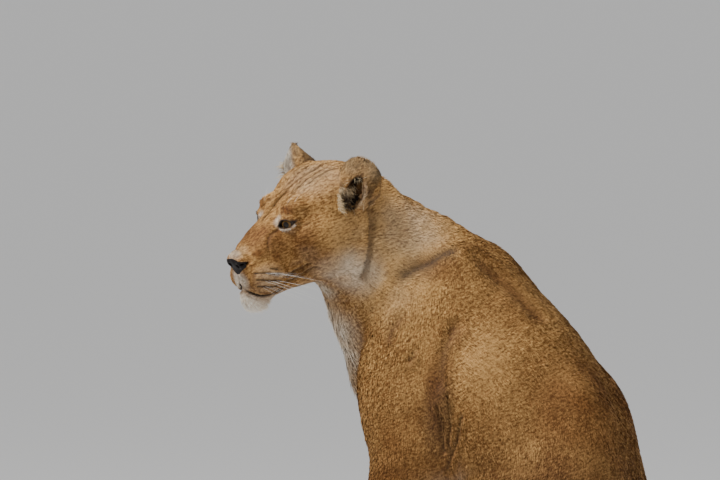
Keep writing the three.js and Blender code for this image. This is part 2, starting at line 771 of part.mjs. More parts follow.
for (const [name, side] of Object.entries(SIDES)) {
  const at = fromHead([EYE_PLACE[0], -side * EYE_PLACE[1], EYE_PLACE[2]]);
  const ball = (radius) => solidFromGeometry(globe(at, [radius, radius, radius], 10, 7));
  pieces[`eye_${name}`] = ball(EYE_RADIUS);
  pieces.head = largest(pieces.head.subtract(ball(EYE_RADIUS + GAP)));
}

// ---- Meshes -------------------------------------------------------------------------------------
const COAT = "#c39a63";
const COLOURS = {
  head: "#c8a26c",
  neck: "#bf9c6c",
  ear: "#a98a5e",
  eye: "#8a5a1e",
  nose: "#2a2220",
  tail_tuft: "#2b221b",
};

// Where a surface only touches itself, its two sides are drawn in by a little.
function drawApart(geometry) {
  const place = geometry.attributes.position;
  const normal = geometry.attributes.normal;
  const seen = new Map();
  for (let i = 0; i < place.count; i++) {
    const key = [place.getX(i), place.getY(i), place.getZ(i)].map((c) => c.toFixed(2)).join();
    seen.set(key, [...(seen.get(key) ?? []), i]);
  }
  for (const twins of seen.values())
    if (twins.length > 1)
      for (const i of twins)
        place.setXYZ(
          i,
          place.getX(i) - GAP * normal.getX(i),
          place.getY(i) - GAP * normal.getY(i),
          place.getZ(i) - GAP * normal.getZ(i),
        );
}

function meshOf(name, solid) {
  const { vertProperties, triVerts } = solid.getMesh();
  const geometry = new THREE.BufferGeometry();
  geometry.setAttribute("position", new THREE.Float32BufferAttribute(vertProperties, 3));
  geometry.setIndex([...triVerts]);
  geometry.computeVertexNormals();
  drawApart(geometry);
  const color = COLOURS[name] ?? COLOURS[name.split("_")[0]] ?? COAT;
  const wet = name.startsWith("eye") || name === "nose";
  const material = new THREE.MeshStandardMaterial({ color, roughness: wet ? 0.25 : 0.9 });
  const mesh = new THREE.Mesh(geometry, material);
  mesh.name = name;
  return mesh;
}

const lioness = new THREE.Group();
lioness.name = "lioness";
for (const [name, solid] of Object.entries(pieces)) lioness.add(meshOf(name, solid));

// The origin is on the floor under the middle of her outline.
const middle = new THREE.Box3().setFromObject(lioness).getCenter(new THREE.Vector3());
lioness.position.set(-middle.x, -middle.y, 0);

export default lioness;
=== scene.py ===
# %% [markdown]
# # A life-size lioness for a museum hall
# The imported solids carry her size, her pose and her weight. This lesson gives them a skin, eyes, a nose,
# whiskers and a coat of short fur. Everything is in metres and in the solids' own frame, with the floor
# at Z = 0, and she faces -X. Loading the frame comes first, because every later piece is placed from it.

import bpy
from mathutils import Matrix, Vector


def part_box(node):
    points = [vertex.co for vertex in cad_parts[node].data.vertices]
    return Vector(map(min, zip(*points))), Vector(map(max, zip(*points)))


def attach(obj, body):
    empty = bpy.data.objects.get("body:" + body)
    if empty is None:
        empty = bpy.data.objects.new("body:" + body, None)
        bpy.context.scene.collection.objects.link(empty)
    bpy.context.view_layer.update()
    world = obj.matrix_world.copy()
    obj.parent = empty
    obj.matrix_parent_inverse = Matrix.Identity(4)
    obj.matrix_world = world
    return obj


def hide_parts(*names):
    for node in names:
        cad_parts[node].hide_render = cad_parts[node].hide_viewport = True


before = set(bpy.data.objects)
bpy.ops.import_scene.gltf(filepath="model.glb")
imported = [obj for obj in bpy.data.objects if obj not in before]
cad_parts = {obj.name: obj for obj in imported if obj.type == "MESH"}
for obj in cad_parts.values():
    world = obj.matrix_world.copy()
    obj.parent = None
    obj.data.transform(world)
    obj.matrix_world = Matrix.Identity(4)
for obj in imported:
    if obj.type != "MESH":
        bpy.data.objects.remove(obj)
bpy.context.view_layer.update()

# %% [markdown]
# ## Smooth fields
# An animal has no edges to measure from, so her shape is a field: a function that is negative inside her
# and positive outside. It could be sculpted by hand or blended from Metaballs, but a field in NumPy takes
# exact sizes and gives the same skin each time. Soft joins melt muscles together as flesh does.

# %% Soft joins and hollows
import math
from concurrent.futures import ThreadPoolExecutor

import bpy
import numpy as np
from mathutils import Matrix, Vector

FAR = 1.0  # stands for a distance that is too great to matter
REACH = 0.11  # a part farther off than this can't change the surface here
MM = 1000  # the longer tables are in millimetres, and are divided by this where they are used


def unit(v):
    v = np.asarray(v, float)
    return v / np.maximum(np.linalg.norm(v, axis=-1, keepdims=True), 1e-9)


def smooth(x, low, high):
    """0 below low, 1 above high, with an even swing between."""
    t = np.clip((x - low) / (high - low), 0, 1)
    return t * t * (3 - 2 * t)


def melt(a, b, k):
    h = np.maximum(k - np.abs(a - b), 0) / k
    return np.minimum(a, b) - h * h * k / 4


def carve(a, b, k):
    return -melt(-a, b, k)


def to_radii(o, radii):
    """How many radii off a point is, and the same over the radii once more."""
    q = o / radii
    k0 = np.sqrt((q * q).sum(1))
    q = q / radii
    k1 = np.sqrt((q * q).sum(1))
    return k0, k1


def ellipsoid(p, centre, radii):
    k0, k1 = to_radii(p - np.asarray(centre), np.asarray(radii))
    return k0 * (k0 - 1) / np.maximum(k1, 1e-6)


def with_muscles(d, p, muscles):
    """Melts a table of ovals into a field."""
    for place, radii, soft in muscles.values():
        d = melt(d, ellipsoid(p, np.array(place) / MM, np.array(radii) / MM), soft / MM)
    return d


sample_point = np.array([[0.0, 0, 0.03]])
print("a point 10 mm outside a ball of 20 mm reads", ellipsoid(sample_point, (0, 0, 0), (0.02, 0.02, 0.02)))

# %% [markdown]
# ## Tubes along the bones
# A limb is an oval tube round a smooth curve. A Blender curve with a bevel gives such a tube too, but it
# can't be melted into its neighbour. Here each tube is a row of short bones, and its field is the least
# of theirs. Bones too far from a batch of points are left out, which makes it many times quicker.

# %% A smooth curve through points
STEPS = 4  # short bones between two stations


def curve_point(points, u):
    """A centripetal Catmull-Rom curve. It doesn't overshoot where stations are unevenly spaced."""
    k = min(int(u), len(points) - 2)
    t = u - k
    before = points[k - 1] if k else 2 * points[0] - points[1]
    after = points[k + 2] if k + 2 < len(points) else 2 * points[-1] - points[-2]
    a, b, c, d = before, points[k], points[k + 1], after
    s0, s1, s2 = (np.linalg.norm(y - x) ** 0.5 for x, y in ((a, b), (b, c), (c, d)))
    out = ((b - a) / s0 - (c - a) / (s0 + s1) + (c - b) / s1) * s1
    into = ((c - b) / s1 - (d - b) / (s1 + s2) + (d - c) / s2) * s1
    bend = -3 * b + 3 * c - 2 * out - into
    return b + t * (out + t * (bend + t * (2 * b - 2 * c + out + into)))


print("half way between two points", curve_point(np.array([(0.0, 0, 0), (1.0, 0, 0)]), 0.5))


# %% A tube through stations of place, half depth, half width and turn
class Tube:
    def __init__(self, *stations, steps=STEPS):
        table = np.array([tuple(s) + (0,) * (6 - len(s)) for s in stations], float)
        table[:, :5] /= MM
        last = len(table) - 1
        rings = []
        for i in range(last * steps + 1):
            k = min(i // steps, last - 1)
            ease = smooth(i / steps - k, 0, 1)
            size = table[k, 3:] * (1 - ease) + table[k + 1, 3:] * ease
            rings.append((curve_point(table[:, :3], i / steps), size))
        self.bones = []
        for (start, first), (end, second) in zip(rings, rings[1:]):
            axis = unit(end - start)
            swing = math.radians((first[2] + second[2]) / 2)
            rough = np.array([-math.sin(swing), math.cos(swing), 0])
            side = unit(rough - axis * (rough @ axis))
            turn = np.array([np.cross(axis, side), side, axis])
            self.bones.append((start, end, turn, first[:2], second[:2]))
        self.middles = np.array([(b[0] + b[1]) / 2 for b in self.bones])
        self.spans = np.array([np.linalg.norm(b[1] - b[0]) / 2 + max(*b[3], *b[4]) for b in self.bones])

    def near(self, p):
        """The bones that can matter to a batch of points."""
        middle = (p.min(0) + p.max(0)) / 2
        spread = np.linalg.norm(p.max(0) - p.min(0)) / 2
        off = np.linalg.norm(self.middles - middle, axis=1)
        return np.flatnonzero(off < self.spans + spread + REACH)

    def __call__(self, p):
        best = np.full(len(p), FAR)
        for i in self.near(p):
            start, end, turn, first, second = self.bones[i]
            span = end - start
            o = p - start
            t = np.clip(o @ (span / (span @ span)), 0, 1)[:, None]
            q = (o - span * t) @ turn.T
            size = first + (second - first) * t
            radii = np.concatenate([size, size.min(1, keepdims=True)], 1)
            k0, k1 = to_radii(q, radii)
            d = np.where(k1 > 1e-6, k0 * (k0 - 1) / np.maximum(k1, 1e-6), -radii[:, 2])
            best = np.minimum(best, d)
        return best

    def flow(self, p):
        """The way along the tube, weighed by nearness."""
        ways = np.zeros((len(p), 3))
        for i in self.near(p):
            start, end, turn, first, second = self.bones[i]
            span = end - start
            t = np.clip((p - start) @ (span / (span @ span)), 0, 1)[:, None]
            off = np.linalg.norm(p - start - span * t, axis=1) / (first.max() + 0.01)
            ways += np.exp(-3 * off * off)[:, None] * turn[2]
        return ways


# %% [markdown]
# ## The head
# The head is modelled in its own frame, forward, left and up from the middle of the skull, so that it can
# turn on the neck without a change to any of its sizes. Skull and muzzle are one loft: a crown line, a
# lower line and a half width. Ellipsoids add cheek, brow, whisker pads, chin and nose.

# %% The head's own frame
HEAD_CENTRE = np.array([-0.136, -0.090, 1.016])
HEAD_TURN, HEAD_NOD, HEAD_TILT = 55, 14, -5.5  # degrees
to_world = Matrix.Rotation(math.radians(HEAD_TURN), 3, "Z") @ Matrix.Rotation(math.pi, 3, "Z")
to_world = to_world @ Matrix.Rotation(math.radians(HEAD_NOD), 3, "Y")
to_world = to_world @ Matrix.Rotation(math.radians(HEAD_TILT), 3, "X")
HEAD_AXES = np.array(to_world).T  # rows: forward, left, up


def to_head(p):
    return (p - HEAD_CENTRE) @ HEAD_AXES.T


def from_head(q):
    return np.asarray(q) @ HEAD_AXES + HEAD_CENTRE


EYE_RADIUS = 0.018
EYE_PLACE = np.array([0.129, 0.040, 0.033])
EAR_PLACE = np.array([-0.008, 0.093, 0.076])

# The solids' origin is under the middle of her outline. The left eye's box gives the shift to there.
low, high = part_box("eye_left")
SHIFT = (np.array(low) + np.array(high)) / 2 - from_head(EYE_PLACE)
print("shift from the modelling frame", SHIFT)

# %% Skull, jaw and muscles of the head
SKULL = np.array([  # forward, crown, lower line, half width, squareness
    (-104, 66, -60, 76, 2.0),
    (-58, 103, -72, 94, 2.1),
    (-5, 119, -76, 99, 2.2),
    (45, 110, -78, 96, 2.2),
    (85, 92, -78, 82, 2.3),
    (116, 71, -78, 66, 2.4),
    (150, 52, -79, 52, 2.7),
    (188, 30, -82, 47, 2.8),
    (214, 13, -80, 44, 2.6),
    (230, -1, -70, 35, 2.3),
])
SKULL[:, :4] /= MM
END_CAP = 0.4  # how bluntly the loft ends
jaw = Tube(
    (10, 0, -62, 34, 70),
    (80, 0, -76, 32, 60),
    (150, 0, -84, 27, 42),
    (200, 0, -90, 26, 33),
)
HEAD_MUSCLES = {  # place, half sizes, softness of the join; both sides where the second number isn't 0
    "cheek": ((40, 66, -26), (68, 42, 62), 40),
    "cheekbone": ((84, 64, 0), (42, 24, 28), 30),
    "brow": ((104, 40, 60), (34, 25, 18), 24),
    "temple": ((14, 58, 62), (60, 38, 40), 36),
    "whisker pad": ((196, 32, -60), (43, 30, 37), 12),
    "chin": ((212, 0, -102), (28, 30, 27), 20),
    "upper lip": ((223, 10, -68), (19, 18, 19), 10),
    "nose tip": ((235, 0, -18), (19, 27, 21), 12),
}


def skull(q):
    x = np.clip(q[:, 0], SKULL[0, 0], SKULL[-1, 0])
    k = np.clip(np.searchsorted(SKULL[:, 0], x) - 1, 0, len(SKULL) - 2)
    t = ((x - SKULL[k, 0]) / (SKULL[k + 1, 0] - SKULL[k, 0]))[:, None]
    a, b, c, d = (SKULL[np.clip(k + n, 0, len(SKULL) - 1), 1:] for n in (-1, 0, 1, 2))
    line = b + 0.5 * t * (c - a + t * (2 * a - 5 * b + 4 * c - d + t * (3 * (b - c) + d - a)))
    top, low, half, n = line.T
    tall = (top - low) / 2
    small = np.minimum(tall, half)
    over = np.maximum(np.maximum(SKULL[0, 0] - q[:, 0], q[:, 0] - SKULL[-1, 0]), 0)
    across = np.abs(q[:, 1] / half) ** n
    along = np.abs((q[:, 2] - (top + low) / 2) / tall) ** n
    k0 = (across + along + (over / (small * END_CAP)) ** n) ** (1 / n)
    return (k0 - 1) * small


def mirrored(p):
    return p * [1, 0, 1] + np.abs(p) * [0, 1, 0]


SOCKET = (EYE_PLACE + (0.024, 0.016, 0), (0.018, 0.017, 0.013))
JAW_JOIN, SOCKET_EDGE, EAR_ROOT_EDGE = 0.026, 0.014, 0.012


def head_mass(q):
    folded = mirrored(q)
    d = with_muscles(melt(skull(q), jaw(q), JAW_JOIN), folded, HEAD_MUSCLES)
    d = carve(d, ellipsoid(folded, *SOCKET), SOCKET_EDGE)
    for side in (1, -1):
        d = carve(d, ear_hollow(q, side, 0), EAR_ROOT_EDGE)
    return d


print("head of", len(SKULL), "rings and", len(HEAD_MUSCLES), "muscles")


# %% Ears: round cups, open to the front and side
EAR_SHELL, EAR_HOLLOW = (0.036, 0.046, 0.061), (0.036, 0.021, 0.036)  # through the cup, across, up
EAR_HOLLOW_PLACE = np.array([0.022, 0.003, -0.004])
EAR_SEAT = {1: 0.006, -1: 0.009}
EAR_SLOPES = [((-0.8, 0, 0.6), 0.0339), ((0.82, 0, 0.572), 0.0384)]  # that thin the cup toward its tip
EAR_EDGE = 0.006
EAR_LEAN = {1: ((-0.25, 0.42, 1), (0.72, 0.62, 0.1)), -1: ((-0.12, -0.36, 1), (0.72, -0.62, 0.1))}


def ear_axes(side):
    up, opening = (unit(v) for v in EAR_LEAN[side])
    mouth = unit(opening - up * (opening @ up))
    return np.array([mouth, np.cross(up, mouth), up])


EAR_AXES = {side: ear_axes(side) for side in (1, -1)}


def in_ear(q, side):
    """A point in an ear's own frame: out through its mouth, across it toward the back, up from its root."""
    return (q - EAR_PLACE * [1, side, 1]) @ EAR_AXES[side].T * [1, side, 1]


def ear_hollow(q, side, less):
    return ellipsoid(in_ear(q, side), EAR_HOLLOW_PLACE, np.array(EAR_HOLLOW) - less)


def ear(q, side, thinner):
    local = in_ear(q, side) - (0, 0, EAR_SEAT[side])
    shell = ellipsoid(local, (0, 0, 0), EAR_SHELL)
    for faces, off in EAR_SLOPES:
        shell = carve(shell, off - local @ np.array(faces), EAR_EDGE)
    return carve(shell + thinner, ear_hollow(q, side, thinner), EAR_EDGE)


print("ears turned", {side: EAR_AXES[side].round(2).tolist() for side in (1, -1)})


# %% [markdown]
# ## The body
# She sits upright on straight forelegs. Trunk and neck follow the spine, each leg is two or three tubes
# melted into the trunk, and flat muscles lie over them. The same numbers made the solids, so the skin
# lies inside them everywhere by the depth of the coat. Each station of a tube gives a place, half the
# depth, half the width and, where it isn't 0, a turn in degrees.

# %% Trunk, neck and tail
trunk = Tube(
    (-22, 0, 735, 112, 98),
    (60, 0, 765, 188, 132),
    (136, 0, 735, 190, 154),
    (206, 0, 655, 196, 168),
    (268, 0, 552, 189, 174),
    (316, 0, 436, 172, 172),
    (342, 0, 310, 148, 164),
    (348, 0, 190, 124, 146),
    (350, 0, 104, 108, 118),
)
neck = Tube(
    (84, 0, 826, 163, 112, 0),
    (12, -10, 886, 151, 106, 8),
    (-52, -34, 948, 128, 100, 28),
    (-92, -54, 992, 102, 94, 48),
)
throat = Tube(
    (-126, -80, 900, 40, 54, 40),
    (-106, -40, 822, 50, 64, 16),
    (-66, 0, 730, 54, 70, 0),
)
tail = Tube(
    (404, 0, 150, 46, 50),
    (474, 6, 84, 34, 36),
    (536, 34, 34, 27, 28),
    (572, 108, 22, 24, 24),
    (552, 206, 20, 24, 24),
    (476, 286, 19, 23, 23),
    (380, 322, 18, 22, 22),
    (288, 334, 18, 22, 23),
    (232, 334, 22, 28, 31),
    (176, 328, 24, 30, 34),
    (116, 318, 14, 15, 18),
    steps=2,
)
BODY_MUSCLES = {
    "breast": ((-48, 0, 690), (60, 70, 92), 50),
    "shoulder blade": ((116, 84, 872), (62, 36, 96), 40),
    "ribs": ((165, 92, 640), (120, 82, 150), 60),
    "loin": ((366, 70, 560), (70, 64, 140), 60),
    "haunch": ((340, 104, 420), (120, 92, 140), 70),
    "belly": ((180, 0, 430), (92, 110, 150), 60),
}

# %% Stations of the legs of her right side
SHOULDER = [(148, 58, 930, 44, 24), (88, 96, 840, 74, 38), (14, 118, 730, 84, 54), (22, 126, 640, 88, 60),
            (54, 120, 570, 78, 56)]
ARM = [(46, 118, 565, 83, 56), (16, 116, 450, 76, 53), (6, 110, 320, 55, 47, 0.5), (4, 106, 205, 45, 43, 1),
       (2, 104, 120, 41, 45, 1), (-20, 104, 62, 42, 50, 1)]
THIGH = [(352, 92, 430, 142, 92), (262, 124, 392, 142, 84), (176, 152, 360, 112, 68), (112, 168, 340, 74, 56)]
SHANK = [(124, 172, 318, 62, 50), (200, 176, 232, 72, 50), (276, 182, 140, 50, 40), (318, 188, 66, 40, 38)]
FOOT = [(322, 188, 41, 44, 36), (220, 192, 35, 38, 38), (144, 192, 35, 38, 46, 1)]
ELBOW, BUTTOCK, FOREPAW, HIND_PAW = (112, 122, 553), (352, 104, 164), (-46, 104, 0), (96, 192, 0)
FOREFOOT_SHIFT = {-1: 0, 1: -34}  # her right forefoot stands a little ahead
HIND_FOOT_SHIFT = {-1: 0, 1: 18}
TOE_PITCH, TOE_SIZE = 0.027, (0.040, 0.0175, 0.030)
TOES = (-1.5, -0.5, 0.5, 1.5)
print("legs from", len(SHOULDER + ARM + THIGH + SHANK + FOOT), "stations a side")


# %% Legs and feet
ELBOW_SIZE, BUTTOCK_SIZE = (0.034, 0.028, 0.044), (0.112, 0.074, 0.168)
PAD_AT, PAD_SIZE = (0.026, 0, 0.034), (0.058, 0.054, 0.040)
ARM_JOIN, ELBOW_JOIN, FOREPAW_JOIN = 0.050, 0.040, 0.026
BUTTOCK_JOIN, SHANK_JOIN, FOOT_JOIN = 0.060, 0.034, 0.020


def limb(stations, side, shift=0):
    """A tube on her right (1) or left (-1). A sixth number is its share of the shift of the foot."""
    return Tube(*[(s[0] + shift * sum(s[5:]), side * s[1], *s[2:5]) for s in stations])


def sided(place, side, shift=0):
    return np.array([place[0] + shift, side * place[1], place[2]]) / MM


class Foreleg:
    def __init__(self, side):
        self.shoulder = limb(SHOULDER, side)
        self.arm = limb(ARM, side, FOREFOOT_SHIFT[side])
        self.elbow = sided(ELBOW, side)
        self.paw = sided(FOREPAW, side, FOREFOOT_SHIFT[side])

    def __call__(self, p):
        d = melt(self.shoulder(p), self.arm(p), ARM_JOIN)
        d = melt(d, ellipsoid(p, self.elbow, ELBOW_SIZE), ELBOW_JOIN)
        return melt(d, pad(p, self.paw), FOREPAW_JOIN)


class HindLeg:
    def __init__(self, side):
        self.thigh = limb(THIGH, side)
        self.shank = limb(SHANK, side)
        self.foot = limb(FOOT, side, HIND_FOOT_SHIFT[side])
        self.buttock = sided(BUTTOCK, side)
        self.paw = sided(HIND_PAW, side, HIND_FOOT_SHIFT[side])

    def __call__(self, p):
        d = melt(self.thigh(p), ellipsoid(p, self.buttock, BUTTOCK_SIZE), BUTTOCK_JOIN)
        d = melt(melt(d, self.shank(p), SHANK_JOIN), self.foot(p), FOOT_JOIN)
        return melt(d, pad(p, self.paw), FOOT_JOIN)


def pad(p, paw):
    return ellipsoid(p, paw + PAD_AT, PAD_SIZE)


def toe_places(paw):
    """Four toes, the middle two a little ahead."""
    return [paw + (-0.024 + abs(n) * 0.013, n * TOE_PITCH, TOE_SIZE[2] - 0.003) for n in TOES]


forelegs = {side: Foreleg(side) for side in (-1, 1)}
hind_legs = {side: HindLeg(side) for side in (-1, 1)}
paws = [leg.paw for leg in (*forelegs.values(), *hind_legs.values())]
print("paws at", [paw.round(3).tolist() for paw in paws])

# %% [markdown]
# ## The skin
# The skin is one closed surface, so that no seam shows between head, trunk and legs. It lies inside the
# solids by the depth of the coat: deep on the body, shallow on face and feet. A Remesh modifier could join
# separate parts, but it would round off the eyelids. Here a net of cells is laid over the field instead,
# with fine cells at the face and wider ones away from it.

# %% How deep the coat is, from the skin to its tips
BODY_COAT, FACE_COAT, FOOT_COAT, EAR_COAT, TAIL_COAT = 0.0060, 0.0040, 0.0030, 0.0030, 0.0040


def on_head(p):
    """1 on the head and 0 behind the nape and below the jaw."""
    q = to_head(p)
    return smooth(q[:, 0] + 0.3 * q[:, 2], -0.15, -0.04) * smooth(q[:, 2] + 0.1 * q[:, 0], -0.17, -0.11)


def coat_depth(p):
    depth = BODY_COAT + (FACE_COAT - BODY_COAT) * on_head(p)
    low_down = 1 - smooth(p[:, 2], 0.05, 0.18)
    return depth + (FOOT_COAT - depth) * low_down


deep = coat_depth(np.array([[0.2, 0, 0.9], [-0.2, -0.15, 1.0], [-0.04, -0.1, 0.02]]))
print("coat on back, face and forefoot", deep.round(4))

# %% [markdown]
# ## Lids, nose and mouth
# A cat's lids are a thin shell over the eyeball with an almond cut in it, higher toward the nose and
# drawn out into a corner behind. They could be modelled as rings of vertices; as a field they stay tied to
# the eyeball's own centre and size, so they can't come away from it.

# %% Eyelids
GAZE = unit((0.86, 0.50, 0.06))
EYE_SLANT = 12  # degrees that the outer corner is raised
LID, LID_JOIN, LID_EDGE = 0.0036, 0.009, 0.0016
INNER_CORNER, OUTER_CORNER = -0.0185, 0.0185
UPPER_PEAK, UPPER_RISE, LOWER_DROP = -0.0060, 0.0098, 0.0066
level = unit(np.cross((0, 0, 1), GAZE))
slant = math.radians(EYE_SLANT)
upright = np.cross(GAZE, level)
EYE_AXES = np.array([
    GAZE,
    level * math.cos(slant) + upright * math.sin(slant),
    upright * math.cos(slant) - level * math.sin(slant),
])


def in_eye(q):
    """Out of the eye, across it toward the outer corner, and up it. Both eyes share it."""
    return (mirrored(q) - EYE_PLACE) @ EYE_AXES.T


def almond(o):
    """How far a point is outside the opening between the lids."""
    across, up = o[:, 1], o[:, 2]
    width = np.where(across < UPPER_PEAK, UPPER_PEAK - INNER_CORNER, OUTER_CORNER - UPPER_PEAK)
    upper = UPPER_RISE * (1 - np.abs((across - UPPER_PEAK) / width) ** 1.7)
    middle = (INNER_CORNER + OUTER_CORNER) / 2
    half = (OUTER_CORNER - INNER_CORNER) / 2
    lower = -LOWER_DROP * (1 - ((across - middle) / half) ** 2)
    return np.maximum(up - upper, lower - up)


def with_lids(d, q):
    o = in_eye(q)
    r = np.sqrt((o * o).sum(1))
    d = melt(d, r - EYE_RADIUS - LID, LID_JOIN)
    opening = np.maximum(almond(o), np.maximum(EYE_RADIUS - 0.002 - r, -o[:, 0]))
    return carve(d, opening, LID_EDGE)


print("line of sight", (GAZE @ HEAD_AXES).round(3))


# %% Nose leather and nostrils
NOSTRIL = ((0.2475, 0.0125, -0.027), (0.0100, 0.0052, 0.0046))
NOSTRIL_SLIT = ((0.2390, 0.0225, -0.023), (0.0110, 0.0036, 0.0026))
NOSE_WING = ((0.2375, 0.0165, -0.021), (0.0120, 0.0100, 0.0120))


def with_nostrils(d, q):
    folded = mirrored(q)
    d = melt(d, ellipsoid(folded, *NOSE_WING), 0.005)
    d = carve(d, ellipsoid(folded, *NOSTRIL), 0.003)
    return carve(d, ellipsoid(folded, *NOSTRIL_SLIT), 0.003)


def leather(q):
    """Negative on the bare leather of the nose: wide above, narrow at the lip."""
    rise = smooth(q[:, 2], -0.050, -0.022)
    side = np.abs(q[:, 1]) - (0.0045 + 0.0270 * rise ** 0.9)
    crown = -0.0125 - 0.20 * np.abs(q[:, 1])
    return np.maximum.reduce([side, q[:, 2] - crown, 0.217 - q[:, 0], -0.0475 - q[:, 2]])


print("leather at the nostril", leather(np.array([NOSTRIL[0]])).round(4))

# %% The whole skin as one field
FACE_AREA = 0.17  # metres from the middle of the face, beyond which there is no fine detail
face_middle = np.array([0.17, 0, -0.01])
NECK_JOIN, THROAT_JOIN, LEG_JOIN, HEAD_JOIN = 0.070, 0.040, 0.030, 0.044
TOE_JOIN, TAIL_JOIN, EAR_JOIN = 0.008, 0.024, 0.008
TUFT_THINNER = 0.009  # how far the skin draws back in the tail's tuft, where the hair is long


def flesh(p):
    q = to_head(p)
    core = melt(melt(trunk(p), neck(p), NECK_JOIN), throat(p), THROAT_JOIN)
    core = with_muscles(core, mirrored(p), BODY_MUSCLES)
    # The knee rests against the forearm with a crease between them, so fore and hind legs don't melt.
    halves = []
    for legs in (hind_legs, forelegs):
        half = core
        for leg in legs.values():
            half = melt(half, leg(p), LEG_JOIN)
        halves.append(half)
    d = melt(np.minimum(*halves), head_mass(q), HEAD_JOIN) + coat_depth(p)
    for paw in paws:
        if np.linalg.norm(p.mean(0) - paw) < 0.3:
            for place in toe_places(paw):
                d = melt(d, ellipsoid(p, place, TOE_SIZE) + FOOT_COAT, TOE_JOIN)
    tuft = (1 - smooth(p[:, 0], 0.20, 0.27)) * smooth(p[:, 1], 0.20, 0.28)
    d = melt(d, tail(p) + TAIL_COAT + tuft * TUFT_THINNER, TAIL_JOIN)
    for side in (1, -1):
        d = melt(d, ear(q, side, EAR_COAT), EAR_JOIN)
    return d


def skin_field(p):
    d = flesh(p)
    q = to_head(p)
    if np.linalg.norm(q.mean(0) - face_middle) < FACE_AREA:
        d = with_lids(d, q)
        d = with_nostrils(d, q) + 0.0015 * smooth(-leather(q), 0, 0.002)
    return np.maximum(d, -p[:, 2])


print("skin field in her chest and beside her", skin_field(np.array([[0.2, 0, 0.6], [0.9, 0, 0.6]])).round(3))


# %% [markdown]
# ## A net over the field
# Each cell that the surface crosses gets one vertex, and each cut grid edge one four-sided face. The grid's
# lines lie close together at the face and farther apart away from it. The field is worked out on every
# fourth line first, and in full only near the surface.

# %% Work out a field in batches that lie close together, on all cores
BATCH, BLOCK = 4096, 0.05
CORES = 4
workers = ThreadPoolExecutor(CORES)


def evaluate(field, points):
    cell = np.floor(points / BLOCK).astype(np.int64)
    order = np.argsort((cell[:, 2] * 1000 + cell[:, 1]) * 1000 + cell[:, 0], kind="stable")
    batches = np.array_split(order, max(len(points) // BATCH, 1))
    values = list(workers.map(lambda batch: field(points[batch]), batches))
    out = np.empty((len(points),) + values[0].shape[1:])
    for batch, value in zip(batches, values):
        out[batch] = value
    return out


print("batches of", BATCH, "points on", CORES, "cores")

# %% Grid lines, fine across the face
FACE_CELL, BODY_CELL, GROWTH = 0.0018, 0.006, 0.02
FACE_BOX = np.array([[-0.300, -0.305, 0.885], [-0.145, -0.150, 1.055]])
WHOLE_BOX = np.array([[-0.355, -0.330, -0.014], [0.612, 0.385, 1.190]])


def grid_lines(low, high, face_low, face_high, cell=FACE_CELL, widest=BODY_CELL):
    lines = [low]
    while lines[-1] < high:
        off = max(face_low - lines[-1], lines[-1] - face_high, 0)
        lines.append(lines[-1] + min(widest, cell + off * GROWTH))
    return np.array(lines)


# %% Sample the field, in full only near the surface
COARSE = 4
NEAR_SHARE, NEAR_LEAST = 0.75, 0.004  # of a coarse cell, and in metres: how near the surface counts as near


def sample(field, lines):
    """The field on a grid: rough far from the surface, exact near it."""
    sizes = [len(x) for x in lines]
    rough_lines = [np.append(x[:-1:COARSE], x[-1]) for x in lines]
    mesh = np.stack(np.meshgrid(*rough_lines, indexing="ij"), -1).reshape(-1, 3)
    value = evaluate(field, mesh).reshape([len(x) for x in rough_lines]).astype(np.float32)
    for axis in range(3):
        x, rough = lines[axis], rough_lines[axis]
        k = np.clip(np.searchsorted(rough, x) - 1, 0, len(rough) - 2)
        t = ((x - rough[k]) / (rough[k + 1] - rough[k])).astype(np.float32)
        t = t.reshape([-1 if n == axis else 1 for n in range(3)])
        value = np.take(value, k, axis) * (1 - t) + np.take(value, k + 1, axis) * t
    along_x, along_y, along_z = np.ix_(*(np.gradient(x) * COARSE for x in lines))
    widest = np.maximum(np.maximum(along_x, along_y), along_z)
    near = np.argwhere(np.abs(value) < NEAR_SHARE * widest + NEAR_LEAST)
    points = np.stack([lines[n][near[:, n]] for n in range(3)], 1)
    value[tuple(near.T)] = evaluate(field, points)
    print("grid", sizes, "with", len(near), "points in full")
    return value


# %% Turn the samples into a net
def net(value, lines):
    """One vertex in each crossed cell and one quad across each cut edge, turned to face outward."""
    size = np.array(value.shape)
    inside = value < 0
    places, cells, rings = [], [], []
    for axis in range(3):
        ahead = [slice(None)] * 3
        ahead[axis] = slice(1, None)
        here = [slice(None)] * 3
        here[axis] = slice(None, -1)
        cut = np.argwhere(inside[tuple(here)] != inside[tuple(ahead)])
        cut = cut[(cut > 0).all(1) & (cut < size - 2).all(1)]
        step = np.eye(3, dtype=int)[axis]
        a, b = value[tuple(cut.T)], value[tuple((cut + step).T)]
        t = a / (a - b)
        place = np.stack([lines[n][cut[:, n]] for n in range(3)], 1)
        place[:, axis] += t * (lines[axis][cut[:, axis] + 1] - lines[axis][cut[:, axis]])
        u, v = np.eye(3, dtype=int)[(axis + 1) % 3], np.eye(3, dtype=int)[(axis + 2) % 3]
        ring = np.stack([cut, cut - u, cut - u - v, cut - v], 1)
        ring = ring @ [size[1] * size[2], size[2], 1]
        ring[a >= 0] = ring[a >= 0][:, ::-1]
        rings.append(ring)
        places.append(np.repeat(place[:, None], 4, 1).reshape(-1, 3))
        cells.append(ring.reshape(-1))
    cells, places = np.concatenate(cells), np.concatenate(places)
    index = np.unique(cells, return_inverse=True)[1]
    count = np.bincount(index)
    vertices = np.stack([np.bincount(index, places[:, n]) / count for n in range(3)], 1)
    return vertices, index.reshape(-1, 4)


# %% Draw the vertices onto the surface and even them out
SLOPE_STEP = 0.0004
SETTLE_MOST = 0.003  # no vertex moves farther than this in one round


